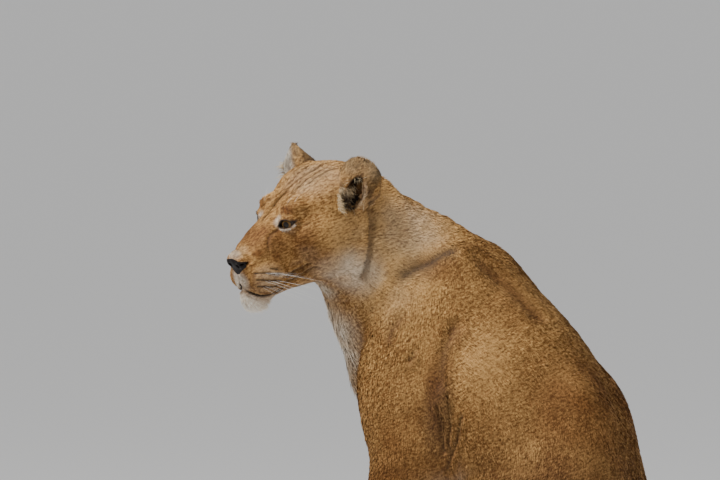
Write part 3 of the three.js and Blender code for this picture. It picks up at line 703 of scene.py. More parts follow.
def slope(field, points):
    """The field's value and its direction of increase."""
    d = evaluate(field, points)
    gradient = [evaluate(field, points + np.eye(3)[n] * SLOPE_STEP) - d for n in range(3)]
    return d, np.stack(gradient, 1) / SLOPE_STEP


def settle(field, points):
    d, rise = slope(field, points)
    steep = np.maximum((rise * rise).sum(1), 0.1)
    return points - rise * np.clip(d / steep, -SETTLE_MOST, SETTLE_MOST)[:, None]


def relax(vertices, quads, share):
    """Moves each vertex toward the mean of its neighbours."""
    ends = np.concatenate([quads[:, [i, (i + 1) % 4]] for i in range(4)])
    here, there = ends.T
    total = np.stack([np.bincount(here, vertices[there, n], len(vertices)) for n in range(3)], 1)
    count = np.bincount(here, minlength=len(vertices))[:, None]
    return vertices + share * (total / np.maximum(count, 1) - vertices)


skin_lines = [grid_lines(*WHOLE_BOX[:, n], *FACE_BOX[:, n]) for n in range(3)]
skin_points, skin_quads = net(sample(skin_field, skin_lines), skin_lines)
for share in (0.5, 0.3):
    skin_points = settle(skin_field, relax(skin_points, skin_quads, share))
print("skin", len(skin_points), "vertices,", len(skin_quads), "quads")

# %% [markdown]
# ## Folds
# Loose skin folds where a limb swings and where a muscle pulls on the face. Sculpting would do, but a furrow
# pressed along a short line of places can be moved later and comes out the same each time. Each furrow
# has a width, a depth and low lips beside it, and fades out toward its ends.

# %% How near a point is to a line on the skin
def vertex_normals(points, quads):
    a, b, c, d = (points[quads[:, n]] for n in range(4))
    faces = np.cross(c - a, d - b)
    total = np.zeros_like(points)
    for n in range(4):
        for axis in range(3):
            total[:, axis] += np.bincount(quads[:, n], faces[:, axis], len(points))
    return unit(total)


def mirrored_way(points, ways):
    """Directions at points that are folded onto her left side."""
    return np.where(points[:, 1:2] < 0, ways * [1, -1, 1], ways)


OFF_SKIN = 0.8  # share of a line's distance above or below the skin that is forgiven


def near_line(points, normals, line):
    """The distance from a line, and the place along it from 0 to its length."""
    line = np.asarray(line, float)
    off = np.full(len(points), FAR)
    along = np.zeros(len(points))
    before = 0.0
    for start, end in zip(line, line[1:]):
        span = end - start
        o = points - start
        t = np.clip(o @ span / (span @ span), 0, 1)
        o = o - t[:, None] * span
        o = o - OFF_SKIN * (o * normals).sum(1, keepdims=True) * normals
        d = np.linalg.norm(o, axis=1)
        closer = d < off
        off[closer] = d[closer]
        length = np.linalg.norm(span)
        along[closer] = before + t[closer] * length
        before += length
    return off, along, before


# %% Furrows of the face and of the body
FACE_FURROWS = {  # width, depth, 1 if it is on both sides, places in the head's frame
    "forehead": (3.4, 4.6, 0, [(164, -6, 44), (140, -9, 56), (118, -9, 70), (92, -6, 86), (66, 0, 98),
        (36, 7, 108), (4, 9, 115)]),
    "brow": (2.6, 2.6, 1, [(108, 19, 76), (80, 17, 90), (50, 21, 103), (18, 27, 111)]),
    "temple": (2.6, 1.5, 1, [(70, 34, 92), (42, 39, 102), (10, 43, 108)]),
    "inner frown": (2.6, 2.2, 1, [(118, 21, 72), (133, 31, 63), (142, 40, 54)]),
    "outer frown": (2.2, 1.4, 1, [(126, 37, 70), (132, 46, 60), (136, 52, 52)]),
    "outer corner": (2.2, 1.6, 1, [(128, 61, 34), (120, 67, 30), (108, 72, 28)]),
    "tear line": (3.6, 1.6, 1, [(153, 36, 26), (167, 34, 22), (178, 34, 18), (186, 37, 8),
        (188, 41, -10)]),
    "smile": (3.2, 3.6, 1, [(158, 44, -71), (144, 44, -67), (123, 50, -61), (112, 62, -50)]),
    "lower smile": (3.2, 3.4, 1, [(166, 42, -82), (138, 45, -78), (118, 54, -68), (100, 71, -59)]),
    "lips": (2.8, 5.2, 1, [(239.5, 0, -68), (235, 5, -76), (232, 11, -82), (227, 18, -87), (221, 27, -91),
        (208, 35, -95), (194, 36, -97), (180, 36, -99), (166, 38, -97)]),
    "philtrum": (1.8, 2.6, 0, [(238, 0, -44), (241.5, 0, -56), (239.5, 0, -69)]),
}
WHISKER_ROWS = [np.array(row) / MM for row in (
    [(201, 52, -39), (190, 54, -43), (180, 54, -47)],
    [(231, 37, -44), (221, 47, -44), (209, 54, -46), (194, 57, -52), (177, 55, -57)],
    [(231, 43, -56), (219, 53, -58), (206, 57, -62), (192, 56, -66), (179, 53, -71)],
    [(231, 41, -69), (220, 50, -71), (206, 54, -76), (184, 52, -80)],
)]
BODY_FURROWS = {  # width, depth, share of the depth on her right side, places
    "cheek": (9, 7, 0, [(-30, -150, 1052), (-32, -142, 1013), (-37, -142, 984), (-40, -142, 954),
        (-55, -136, 912), (-67, -129, 891)]),
    "shoulder": (14, 4.2, 0.7, [(14, -118, 905), (42, -111, 923), (72, -107, 935), (94, -101, 951),
        (113, -96, 960), (130, -80, 970)]),
    "upper arm": (10, 3.5, 0.6, [(26, -140, 829), (11, -146, 804), (6, -155, 775)]),
    "behind the arm": (12, 5, 0.7, [(138, -139, 815), (123, -150, 775), (116, -162, 728),
        (120, -168, 680)]),
    "point of the shoulder": (6, 3, 0.5, [(62, -154, 768), (48, -160, 735)]),
    "back": (16, 5.2, 0.8, [(165, -84, 944), (203, -69, 905), (237, -62, 873), (270, -59, 843),
        (300, -63, 812)]),
    "armpit": (5, 6, 0.8, [(112, -169, 655), (123, -169, 600), (126, -164, 557)]),
    "armpit middle": (4, 5, 0.8, [(134, -173, 680), (142, -174, 617), (132, -164, 558)]),
    "armpit rear": (5, 6, 0.8, [(166, -176, 640), (154, -172, 588), (137, -162, 552), (125, -151, 523)]),
}
print("furrows", list(FACE_FURROWS) + list(BODY_FURROWS))

# %% Press the furrows into the skin
LIP_SHARE = 0.35  # height of the lips beside a furrow, as a share of its depth
LIP_OFF, LIP_WIDTH = 1.9, 0.8  # how far off the lips lie and how wide they are, in widths of the furrow


def furrow(points, normals, line, width, depth):
    """How far in a furrow presses the skin, and how strongly it darkens it."""
    off, along, length = near_line(points, normals, line)
    fade = smooth(along, -width, 0.6 * width) * smooth(length - along, -0.2 * width, 2 * width)
    trough = np.exp(-(off / width) ** 2)
    lips = np.exp(-((off / width - LIP_OFF) / LIP_WIDTH) ** 2)
    return depth * fade * (trough - LIP_SHARE * lips), fade * trough


normals = vertex_normals(skin_points, skin_quads)
head_points = to_head(skin_points)
head_normals = normals @ HEAD_AXES.T
creases = {}


def press(table, points, normals):
    """How far a table of furrows presses the skin in. It keeps how strongly each of them darkens it: painted
    shade in most folds, the black of lips and tear lines in a few.
    """
    total = np.zeros(len(points))
    for name, (width, depth, far_share, line) in table.items():
        creases[name] = 0
        for side, share in ((1, 1), (-1, far_share)):
            way = np.array(line) / MM * [1, side, 1]
            push, shade = furrow(points, normals, way, width / MM, depth / MM * share)
            total += push
            creases[name] = np.maximum(creases[name], shade * share)
    return total


pressed = press(FACE_FURROWS, head_points, head_normals) + press(BODY_FURROWS, skin_points, normals)
rows, spots = 0, 0
SPOT_PITCH, ROW_WIDTH, ROW_DEPTH = 0.0086, 0.0028, 0.0014
SPOT_WIDTH = 0.9 * ROW_WIDTH
for line in WHISKER_ROWS:
    off, along, length = near_line(mirrored(head_points), mirrored_way(head_points, head_normals), line)
    inside = smooth(along, -0.001, 0.002) * smooth(length - along, -0.001, 0.002)
    rows = np.maximum(rows, inside * np.exp(-(off / ROW_WIDTH) ** 2))
    beat = 0.5 + 0.5 * np.cos(2 * math.pi * along / SPOT_PITCH)
    spots = np.maximum(spots, inside * beat * np.exp(-(off / SPOT_WIDTH) ** 2))
pressed += ROW_DEPTH * rows
skin_points = skin_points - normals * pressed[:, None]
skin_points[:, 2] = np.maximum(skin_points[:, 2], 0)
normals = vertex_normals(skin_points, skin_quads)
print("furrows", len(FACE_FURROWS) + len(BODY_FURROWS), "deepest", round(float(pressed.max()), 4))

# %% [markdown]
# ## Markings, with painted light and shade
# A lioness is tawny, with a pale chin, throat and belly, rufous patches, grey-buff cheeks and neck, and black
# lips, lid rims, tear lines and tail tuft. The same masks also carry painted shade in her folds, armpits and
# ear hollows and on her lower body, and painted light on her nape, neck, crown and upper ribs. Painting an
# image would need an unwrap first. Masks worked out from place alone serve skin and coat alike, so a hair
# always has the colour of the skin it stands on.

# %% Helpers for masks
def blob(p, place, sizes):
    """1 near a place, 0 beyond the given half sizes. Place and sizes are in millimetres."""
    o = (p - np.array(place) / MM) / (np.array(sizes) / MM)
    return 1 - smooth(np.sqrt((o * o).sum(1)), 0.35, 1.2)


def mottle(p, size, seed, waves=20):
    """Soft random patches between -1 and 1 of about the given size."""
    rng = np.random.default_rng(seed)
    ways = unit(rng.normal(size=(waves, 3))) / (size * rng.uniform(0.8, 2.2, (waves, 1)))
    shift = rng.uniform(0, 2 * math.pi, waves)
    total = np.zeros(len(p))
    for way, start in zip(ways, shift):
        total += np.sin(math.pi * (p @ way) + start)
    return np.clip(total / math.sqrt(waves), -1, 1)


RIPPLE, RIPPLE_WAY = 0.0068, unit((0.50, -0.10, -0.86))


def ripple(p):
    """Rows in which the coat parts, crosswise to the way it lies."""
    s = p @ RIPPLE_WAY + 0.0042 * mottle(p, 0.030, 5) + 0.0012 * mottle(p, 0.008, 6)
    return np.sin(2 * math.pi * s / RIPPLE) * (0.65 + 0.35 * mottle(p, 0.022, 7))


# %% Which part of her a point of the skin belongs to
PARTS = ["trunk", "neck", "foreleg_left", "foreleg_right", "hind_leg_left", "hind_leg_right", "tail"]


def part_fields(p):
    legs = [forelegs[-1](p), forelegs[1](p), hind_legs[-1](p), hind_legs[1](p)]
    return np.stack([trunk(p), np.minimum(neck(p), throat(p)), *legs, tail(p)], 1)


belongs = evaluate(part_fields, skin_points).argmin(1)
head_share = on_head(skin_points)
q, folded, flank = head_points, mirrored(head_points), mirrored(skin_points)
ear_off = np.stack([ear(q, side, EAR_COAT) for side in (1, -1)], 1)
on_ear = 1 - smooth(ear_off.min(1), 0.001, 0.010)
e = np.where((ear_off[:, 0] < ear_off[:, 1])[:, None], in_ear(q, 1), in_ear(q, -1))
hollow = np.minimum(ear_hollow(q, 1, EAR_COAT), ear_hollow(q, -1, EAR_COAT))
in_hollow = on_ear * (1 - smooth(np.abs(hollow), 0.0015, 0.005)) * smooth(e[:, 0], -0.012, -0.004)
print("vertices on each part", dict(zip(PARTS, np.bincount(belongs, minlength=len(PARTS)).tolist())))

# %% Parts of the masks: lids, limbs, ears and tail
o = in_eye(q)
from_eye = np.sqrt((o * o).sum(1))
lid = almond(o)
at_eye = (from_eye < EYE_RADIUS + 0.008) & (o[:, 0] > 0)
rim_width = np.where(o[:, 2] > 0, 0.0042, 0.0020)
rim = np.where(at_eye, 1 - smooth(np.abs(lid) / rim_width, 0.4, 1.1), 0)
under_eye = at_eye & (np.abs(o[:, 1]) < 0.017) & (o[:, 2] < -0.0004)
lid_band = smooth(lid, 0.0012, 0.0022) * (1 - smooth(lid, 0.0032, 0.0052))
lower_lid = np.where(under_eye, lid_band, 0)
down = -normals[:, 2]
height = skin_points[:, 2]
x, y = skin_points[:, 0], skin_points[:, 1]
side_of = np.where(belongs % 2 == 0, -1, 1)  # the left legs have even numbers in PARTS
on_legs = (belongs >= 2) & (belongs <= 5) & (head_share < 0.2)
inner_leg = np.where(on_legs, smooth(-normals[:, 1] * side_of, 0.1, 0.8), 0)
below = np.where(on_legs, 0.3, 1 - 0.8 * head_share) * smooth(down, 0.25, 0.85) * smooth(height, 0.02, 0.1)
thigh_shade = (1 - smooth(height, 0.42, 0.66)) * smooth(height, 0.1, 0.3) * smooth(x, 0.06, 0.22)
# painted shade where the ear's front edge shadows its hollow
ear_hollow_shade = in_hollow * smooth(e[:, 1], -0.017, -0.009) * (1 - smooth(e[:, 1], 0.007, 0.013))
ear_back = on_ear * (1 - smooth(e[:, 0], -0.016, 0.002)) * smooth(e[:, 2], -0.030, 0.004)
outer_ear = on_ear * (1 - in_hollow)
lip_line = np.minimum(2.2 * creases["lips"], 1)
smile = np.maximum(creases["smile"], creases["lower smile"])
TUFT_STARTS, TUFT_GROWS = 0.262, 0.035
on_tail = belongs == PARTS.index("tail")
tuft_share = np.where(on_tail & (y > 0.2), 1 - smooth(x, TUFT_STARTS - TUFT_GROWS, TUFT_STARTS), 0)
print("lid rims take", int((rim > 0.5).sum()), "vertices and the tail's tuft", int((tuft_share > 0.5).sum()))

# %% Where she is pale: q is on her head, folded on both its sides, flank on both sides of her body
pale = np.maximum.reduce([
    1.2 * blob(q, (216, 0, -116), (54, 50, 36)),
    0.85 * blob(folded, (238, 6, -62), (16, 20, 26)),
    0.50 * blob(q, (250, 0, -4), (16, 26, 16)),
    1.0 * lower_lid,
    0.50 * blob(folded, (151, 31, 40), (12, 10, 15)),
    0.16 * blob(folded, (206, 50, -60), (40, 24, 32)) * (1 - rows),
    0.60 * blob(folded, (110, 0, -125), (110, 70, 36)),
    # painted light: the nape is paler where the light from above falls on it
    0.16 * blob(flank, (30, 80, 1010), (85, 80, 70)),
    0.08 * blob(q, (50, 30, 100), (80, 90, 40)),
    0.42 * blob(folded, (42, 85, -85), (95, 50, 60)),
    0.80 * on_ear * (q[:, 1] < 0) * smooth(e[:, 0], 0.006, 0.018),
    0.75 * blob(skin_points, (-125, -45, 800), (70, 75, 130)),
    0.70 * blob(skin_points, (-135, 0, 660), (85, 75, 150)),
    0.55 * inner_leg * smooth(height, 0.15, 0.35),
    0.55 * below,
    0.28 * in_hollow * smooth(e[:, 1], 0.006, 0.020),
    0.30 * (1 - smooth(height, 0.02, 0.09)),
])
print("mean pale", pale.mean().round(3))

# %% Where she is rufous, with painted shade in her hollows, folds and lower body, and where grey
rufous_and_shade = np.maximum.reduce([
    0.50 * blob(folded, (176, 40, 4), (44, 26, 30)),
    0.95 * blob(folded, (212, 36, -8), (15, 14, 10)),
    0.80 * blob(folded, (178, 46, -22), (14, 14, 16)),
    0.60 * blob(folded, (128, 72, -6), (40, 26, 34)),
    0.45 * blob(folded, (100, 78, -34), (36, 30, 24)),
    0.70 * blob(folded, (134, 44, 58), (10, 20, 10)),
    0.30 * blob(q, (85, 0, 85), (80, 34, 50)),
    0.50 * blob(folded, (205, 24, 4), (34, 12, 20)),
    0.60 * blob(folded, (195, 14, 22), (50, 24, 22)),
    # painted shade, partly a redder tone: darker towards the bottom of the body
    0.45 * (1 - smooth(height, 0.50, 0.78)) * smooth(height, 0.10, 0.30) * (1 - inner_leg),
    # painted shadow behind the elbow, and painted shade below the top edge of the shoulder blade
    0.60 * blob(flank, (112, 160, 680), (35, 50, 130)),
    0.50 * blob(flank, (75, 110, 925), (85, 50, 30)),
    # painted shade on haunch, hip, lower flank and beside the elbow, partly a redder tone
    0.60 * blob(flank, (390, 100, 660), (130, 120, 150)),
    0.55 * blob(flank, (400, 120, 420), (190, 120, 220)),
    0.40 * blob(flank, (220, 180, 480), (150, 90, 120)),
    0.50 * blob(flank, (30, 150, 540), (90, 80, 160)),
    # painted shade in the groove beside the spine
    0.30 * blob(flank, (230, 80, 900), (90, 60, 90)),
    0.20 * in_hollow,
    0.70 * creases["tear line"],
    # painted shade in the folds of back, shoulder and arm, and in the furrows of forehead, smile and frown
    0.60 * creases["back"],
    0.30 * creases["shoulder"],
    0.35 * np.maximum(creases["behind the arm"], creases["upper arm"]),
    0.60 * creases["forehead"],
    0.50 * smile,
    0.60 * np.maximum(creases["inner frown"], creases["outer frown"]),
])
grey = np.maximum.reduce([
    0.38 * blob(flank, (-10, 120, 930), (100, 110, 130)),
    0.38 * blob(folded, (20, 90, -30), (70, 40, 80)),
    0.40 * blob(q, (235, 0, -2), (26, 30, 18)),
    0.60 * outer_ear * smooth(e[:, 2], 0.010, 0.045) * smooth(e[:, 0], -0.020, 0.004),
    0.25 * blob(q, (60, 0, 100), (70, 80, 30)),
])
print("mean rufous and grey", rufous_and_shade.mean().round(3), grey.mean().round(3))

# %% Where she is dark: black lid rims, lips, whisker spots, ear backs and tail tuft, and painted shade in folds, furrows, armpits, behind the elbow, on the lower flank and deep in the ears
dark = np.maximum.reduce([
    1.00 * rim,
    0.34 * creases["tear line"],
    lip_line,
    0.80 * creases["philtrum"],
    0.70 * creases["outer corner"],
    1.00 * blob(folded, (180, 39, -97), (20, 12, 9)),
    0.95 * spots,
    0.92 * rows,
    # painted shade in the furrows of forehead, brow, temple and smile
    0.92 * creases["forehead"],
    0.80 * creases["brow"],
    0.60 * creases["temple"],
    0.50 * smile,
    # painted shadow behind the elbow, painted shade on the lower flank and in the groove beside the spine
    0.42 * blob(flank, (114, 165, 645), (42, 55, 110)),
    0.32 * thigh_shade * (1 - inner_leg),
    0.25 * creases["back"],
    # painted shade in the frown furrows
    0.45 * creases["inner frown"],
    0.35 * creases["outer frown"],
    0.72 * ear_back,
    0.42 * outer_ear * smooth(e[:, 2], 0.000, 0.040),
    0.55 * outer_ear * smooth(mottle(skin_points, 0.008, 41), 0.05, 0.65),
    # painted shade deep in the ear's hollow
    ear_hollow_shade * (1 - smooth(e[:, 0], 0.024, 0.034)),
    1.00 * tuft_share,
    # painted shade in the folds of neck, shoulder, arm and armpit
    0.60 * creases["cheek"],
    0.80 * creases["shoulder"],
    0.42 * creases["behind the arm"],
    0.35 * np.maximum(creases["upper arm"], creases["point of the shoulder"]),
    0.65 * np.maximum.reduce([creases["armpit"], creases["armpit middle"], creases["armpit rear"]]),
])
print("mean dark", dark.mean().round(3))


# %% Uneven edges, and where the tawny is lighter: painted light on neck, nape, crown, upper ribs and the ear's rear wall, fairer fur on cheek and whisker pad
def uneven(mask, spread, size, seed, add=0):
    """A mask made uneven by soft patches."""
    return np.clip(mask * (1 + spread * mottle(skin_points, size, seed)) + add, 0, 1)


pale = uneven(pale, 0.25, 0.020, 11)
rufous_and_shade = uneven(rufous_and_shade, 0.30, 0.030, 12, 0.06 * mottle(skin_points, 0.09, 13))
grey = uneven(grey, 0.40, 0.018, 14)
# painted light where light from above falls on neck, nape, crown and upper ribs and on the rear wall of the
# ear's hollow; cheek and whisker pad are fairer fur
fair_and_painted_light = np.maximum.reduce([
    1.50 * blob(flank, (0, 110, 960), (120, 130, 150)),
    1.70 * blob(skin_points, (50, 0, 1020), (110, 120, 100)),
    1.10 * blob(folded, (40, 85, -25), (105, 50, 90)),
    0.75 * blob(q, (50, 0, 95), (100, 110, 55)),
    0.60 * blob(folded, (205, 50, -58), (45, 30, 32)),
    0.70 * blob(flank, (220, 160, 760), (90, 100, 90)),
    2.00 * in_hollow * smooth(e[:, 1], 0.006, 0.014),
])
tint = 0.5 + 0.5 * mottle(skin_points, 0.05, 15) + 1.15 * fair_and_painted_light
print("mean tint", tint.mean().round(3))

# %% [markdown]
# ## Building meshes
# Every piece below is a list of places and four-sided faces, so one helper turns them into an object. Values
# that belong to the vertices, such as the markings, are stored as attributes that a material can read.

# %% A piece from arrays
def mesh_piece(name, points, faces, finish, slot, marks=None):
    mesh = bpy.data.meshes.new(name)
    count, sides = faces.shape
    mesh.vertices.add(len(points))
    mesh.vertices.foreach_set("co", np.ascontiguousarray(points + SHIFT, np.float32).ravel())
    mesh.loops.add(count * sides)
    mesh.loops.foreach_set("vertex_index", faces.astype(np.int32).ravel())
    mesh.polygons.add(count)
    mesh.polygons.foreach_set("loop_start", np.arange(0, count * sides, sides, dtype=np.int32))
    mesh.update(calc_edges=True)
    mesh.shade_smooth()
    for key, values in (marks or {}).items():
        kind = "FLOAT" if values.ndim == 1 else "FLOAT_COLOR"
        field = "value" if values.ndim == 1 else "color"
        attribute = mesh.attributes.new(key, kind, "POINT")
        attribute.data.foreach_set(field, np.ascontiguousarray(values, np.float32).ravel())
    mesh.materials.append(finish.material)
    piece = bpy.data.objects.new(name, mesh)
    bpy.context.scene.collection.objects.link(piece)
    if slot:
        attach(piece, "root")
    return piece


# %% [markdown]
# ## Finishes
# A finish is worked out as a formula over the surface: colours are mixed by the masks, and the coat's shine
# comes from constants on the shader. The same could be wired by hand in the node editor. A small class that
# wraps a socket lets the formulas read like sums.

# %% Sums with sockets
class Wire:
    """An output socket that can be added, multiplied and taken from a number."""

    def __init__(self, finish, socket):
        self.finish, self.socket = finish, socket

    def output(self, number):
        """Another output of the same node."""
        return Wire(self.finish, self.socket.node.outputs[number])

    def join(self, operation, a, b):
        return self.finish.node("ShaderNodeMath", {"operation": operation}, {0: a, 1: b})

    def __add__(self, other):
        return self.join("ADD", self, other)

    def __sub__(self, other):
        return self.join("SUBTRACT", self, other)

    def __rsub__(self, other):
        return self.join("SUBTRACT", other, self)

    def __mul__(self, other):
        return self.join("MULTIPLY", self, other)

    __radd__ = __add__
    __rmul__ = __mul__


class Finish:
    """A material with a Principled shader. Constants go straight onto the shader's own sockets."""

    def __init__(self, name, constants):
        self.material = bpy.data.materials.new(name)
        self.material.use_nodes = True
        self.tree = self.material.node_tree
        self.shader = self.tree.nodes["Principled BSDF"]
        for key, value in constants.items():
            self.shader.inputs[key].default_value = value

    def node(self, kind, settings=None, inputs=None, output=0):
        made = self.tree.nodes.new(kind)
        for key, value in (settings or {}).items():
            if key == "stops":
                self.set_stops(made.color_ramp, value)
            else:
                setattr(made, key, value)
        for key, value in (inputs or {}).items():
            if isinstance(value, Wire):
                self.tree.links.new(value.socket, made.inputs[key])
            else:
                made.inputs[key].default_value = value
        return Wire(self, made.outputs[output])

    def set_stops(self, ramp, stops):
        while len(ramp.elements) < len(stops):
            ramp.elements.new(1.0)
        for element, (place, colour) in zip(ramp.elements, stops):
            element.position = place
            element.color = colour

    def mix(self, a, b, share):
        settings = {"data_type": "RGBA", "clamp_factor": True}
        return self.node("ShaderNodeMix", settings, {0: share, 6: a, 7: b}, 2)

    def attribute(self, name, output="Fac"):
        return self.node("ShaderNodeAttribute", {"attribute_name": name}, {}, output)

    def noise(self, scale, detail=2.0):
        place = self.node("ShaderNodeTexCoord", {}, {}, "Object")
        return self.node("ShaderNodeTexNoise", {}, {"Vector": place, "Scale": scale, "Detail": detail})

    def dashes(self):
        """Short dark and light dashes crosswise to the way the coat lies."""
        place = self.node("ShaderNodeTexCoord", {}, {}, "Object")
        axes = zip("XYZ", (RIPPLE_WAY, DASH_ASIDE, np.cross(RIPPLE_WAY, DASH_ASIDE)), DASH_SIZES)
        stretched = {}
        for key, axis, size in axes:
            inputs = {0: place, 1: tuple(axis / size)}
            stretched[key] = self.node("ShaderNodeVectorMath", {"operation": "DOT_PRODUCT"}, inputs, "Value")
        vector = self.node("ShaderNodeCombineXYZ", {}, stretched)
        return self.node("ShaderNodeTexNoise", {}, {"Vector": vector, "Scale": 1.0, "Detail": 1.5})

    def feed(self, key, wire):
        self.tree.links.new(wire.socket, self.shader.inputs[key])

    def bump(self, height, strength, distance):
        inputs = {"Height": height, "Strength": strength, "Distance": distance}
        self.feed("Normal", self.node("ShaderNodeBump", {}, inputs))


# %% The coat
DASH_ASIDE = unit(np.cross(RIPPLE_WAY, (0, 1, 0.2)))
DASH_SIZES = (0.0034, 0.0080, 0.0080)
TAWNY_DARK = (0.190, 0.078, 0.014, 1)
TAWNY_LIGHT = (0.710, 0.410, 0.138, 1)
RUFOUS = (0.190, 0.062, 0.010, 1)
BUFF_GREY = (0.480, 0.330, 0.165, 1)
PALE = (0.880, 0.765, 0.600, 1)
BLACK_BROWN = (0.020, 0.013, 0.009, 1)


def shaded(colour, share):
    """The same hue, darker or lighter, but never brighter than 0.9."""
    return tuple(min(part * share, 0.9) for part in colour[:3]) + (1,)


def coat_finish(name, root_shade):
    """Fur that is darker at the roots, with masks for the markings and for painted light and shade. Hairs
    differ a little in tone.
    """
    finish = Finish(name, {"Roughness": 0.72, "Specular IOR Level": 0.28})
    # marks holds pale, rufous with painted shade in it, and grey; tint holds painted light
    marks = finish.attribute("marks", "Color")
    split = finish.node("ShaderNodeSeparateColor", {}, {0: marks})
    tone = finish.attribute("tint") * 0.26 + finish.attribute("lot") * 0.60
    tone = tone + finish.noise(60.0) * 0.30 + finish.noise(280.0) * 1.35 + finish.dashes() * 2.10 - 1.91
    colour = finish.mix(TAWNY_DARK, TAWNY_LIGHT, tone)
    for mask, base, low in ((1, RUFOUS, 0.45), (2, BUFF_GREY, 0.45), (0, PALE, 0.84)):
        shade = finish.mix(shaded(base, low), shaded(base, 1.35), tone)
        colour = finish.mix(colour, shade, split.output(mask))
    # Roots are darker and redder; on the skin, with its low tip value, this is painted shade under the coat
    root = 1 - finish.attribute("tip")
    colour = finish.mix(colour, RUFOUS, root * root_shade)
    colour = finish.mix(colour, BLACK_BROWN, finish.attribute("dark"))
    finish.feed("Base Color", colour)
    finish.bump(finish.noise(900.0, 3.0), 0.35, 0.0008)
    return finish


coat = coat_finish("coat", 0.55)
# The skin's tip value of 0.35 makes it darker than the hair tips: painted shade under the coat
skin_marks_light_and_shade = {
    "marks": np.stack([pale, rufous_and_shade, grey, np.ones(len(pale))], 1),
    "dark": dark, "tint": tint, "tip": np.full(len(pale), 0.35), "lot": np.full(len(pale), 0.45),
}
skin = mesh_piece("skin", skin_points, skin_quads, coat, "coat", skin_marks_light_and_shade)
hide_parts(*[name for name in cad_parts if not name.startswith(("eye", "nose"))])
print("skin", len(skin_quads), "faces")

# %% [markdown]
# ## Eyes
# Each eye is a whole ball in its socket, with a clear bulge in front. It could be two shells, one of them of
# glass; at a museum's viewing distance one glossy ball with a drawn iris looks the same and bakes well.

# %% Eyeballs
EYE_CELLS = 22
CORNEA_RISE, CORNEA_HALF = 0.0011, math.radians(38)


def ball(cells):
    """A sphere of radius 1 from six bulged squares, so that every face has four sides."""
    line = np.tan(np.linspace(-math.pi / 4, math.pi / 4, cells + 1))
    u, v = (grid.ravel() for grid in np.meshgrid(line, line, indexing="ij"))
    corner = (np.arange(cells)[:, None] * (cells + 1) + np.arange(cells)).ravel()
    square = np.stack([corner, corner + cells + 1, corner + cells + 2, corner + 1], 1)
    points, quads = [], []
    for axis in range(3):
        for sign in (1, -1):
            wall = np.zeros((len(u), 3))
            wall[:, axis] = sign
            wall[:, (axis + 1) % 3] = u
            wall[:, (axis + 2) % 3] = v * sign
            quads.append(square + len(points) * len(u))
            points.append(unit(wall))
    rounded = np.round(np.concatenate(points), 6)
    unique, index = np.unique(rounded, axis=0, return_inverse=True)
    return unique, index.reshape(-1)[np.concatenate(quads)]


def eyeball(side):
    """A ball on the line of sight, with a slight bulge over the iris."""
    local, quads = ball(EYE_CELLS)
    angle = np.arccos(np.clip(local[:, 0], -1, 1))
    radius = EYE_RADIUS - CORNEA_RISE * smooth(angle, 0.5 * CORNEA_HALF, CORNEA_HALF)
    points = (local * radius[:, None] @ EYE_AXES + EYE_PLACE) * [1, side, 1]
    return from_head(points), quads if side > 0 else quads[:, ::-1], angle / CORNEA_HALF


EYE_SHINE = {"Roughness": 0.22, "Coat Weight": 0.15, "Coat Roughness": 0.03, "Specular IOR Level": 0.12}
eye_finish = Finish("eye", EYE_SHINE)
ring = eye_finish.attribute("ring")
# The amber iris is drawn dark: partly its own colour, partly painted shade of the brow over it
iris = eye_finish.mix((0.080, 0.036, 0.008, 1), (0.150, 0.078, 0.018, 1), eye_finish.noise(700.0, 4.0))
IRIS_BANDS = ((0.0, 0), (0.50, 0), (0.56, 1), (0.86, 1), (0.95, 0.05))  # place from the pupil outward, share
stops = [(place, (share, share, share, 1)) for place, share in IRIS_BANDS]
band = eye_finish.node("ShaderNodeValToRGB", {"stops": stops}, {0: ring})
colour = eye_finish.mix((0.012, 0.009, 0.007, 1), iris, band)
white = eye_finish.node("ShaderNodeMapRange", {}, {0: ring, 1: 1.02, 2: 1.25})
colour = eye_finish.mix(colour, (0.060, 0.036, 0.024, 1), white)
eye_finish.feed("Base Color", colour)
for name, side in (("eye_left", 1), ("eye_right", -1)):
    points, quads, ring_values = eyeball(side)
    piece = mesh_piece(name + "_ball", points, quads, eye_finish, "eye", {"ring": ring_values})
    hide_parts(name)
print("eyes", 2 * len(quads), "faces")

# %% [markdown]
# ## Nose leather
# The bare leather of the nose is a closed shell of its own, a little proud of the skin beneath it. A material
# mask on the skin would do for colour only; as a piece it has an edge that catches light.

# %% Nose leather from its own fine net
NOSE_CELL = 0.0009
NOSE_PROUD = 0.0007
NOSE_BOX = np.array([[0.2150, -0.0300, -0.0520], [0.2620, 0.0300, 0.0040]])


def nose_field(q):
    p = from_head(q)
    return np.maximum(with_nostrils(with_lids(flesh(p), q), q) - NOSE_PROUD, leather(q))


nose_lines = [np.arange(NOSE_BOX[0, n], NOSE_BOX[1, n], NOSE_CELL) for n in range(3)]
nose_value = evaluate(nose_field, np.stack(np.meshgrid(*nose_lines, indexing="ij"), -1).reshape(-1, 3))
nose_points, nose_quads = net(nose_value.reshape([len(line) for line in nose_lines]), nose_lines)
nose_points = relax(nose_points, nose_quads, 0.5)
nose_finish = Finish("nose_leather", {"Roughness": 0.50, "Specular IOR Level": 0.12})
pebbles = nose_finish.node("ShaderNodeTexVoronoi", {}, {
    "Vector": nose_finish.node("ShaderNodeTexCoord", {}, {}, "Object"), "Scale": 900.0,
})
NOSE_DARK, NOSE_LIGHT = (0.003, 0.002, 0.002, 1), (0.010, 0.007, 0.006, 1)
nose_finish.feed("Base Color", nose_finish.mix(NOSE_DARK, NOSE_LIGHT, nose_finish.noise(220.0)))
nose_finish.bump(1 - pebbles, 0.6, 0.0005)
nose = mesh_piece("nose_leather", from_head(nose_points), nose_quads, nose_finish, "nose_leather")
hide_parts("nose")
print("nose", len(nose_quads), "faces")

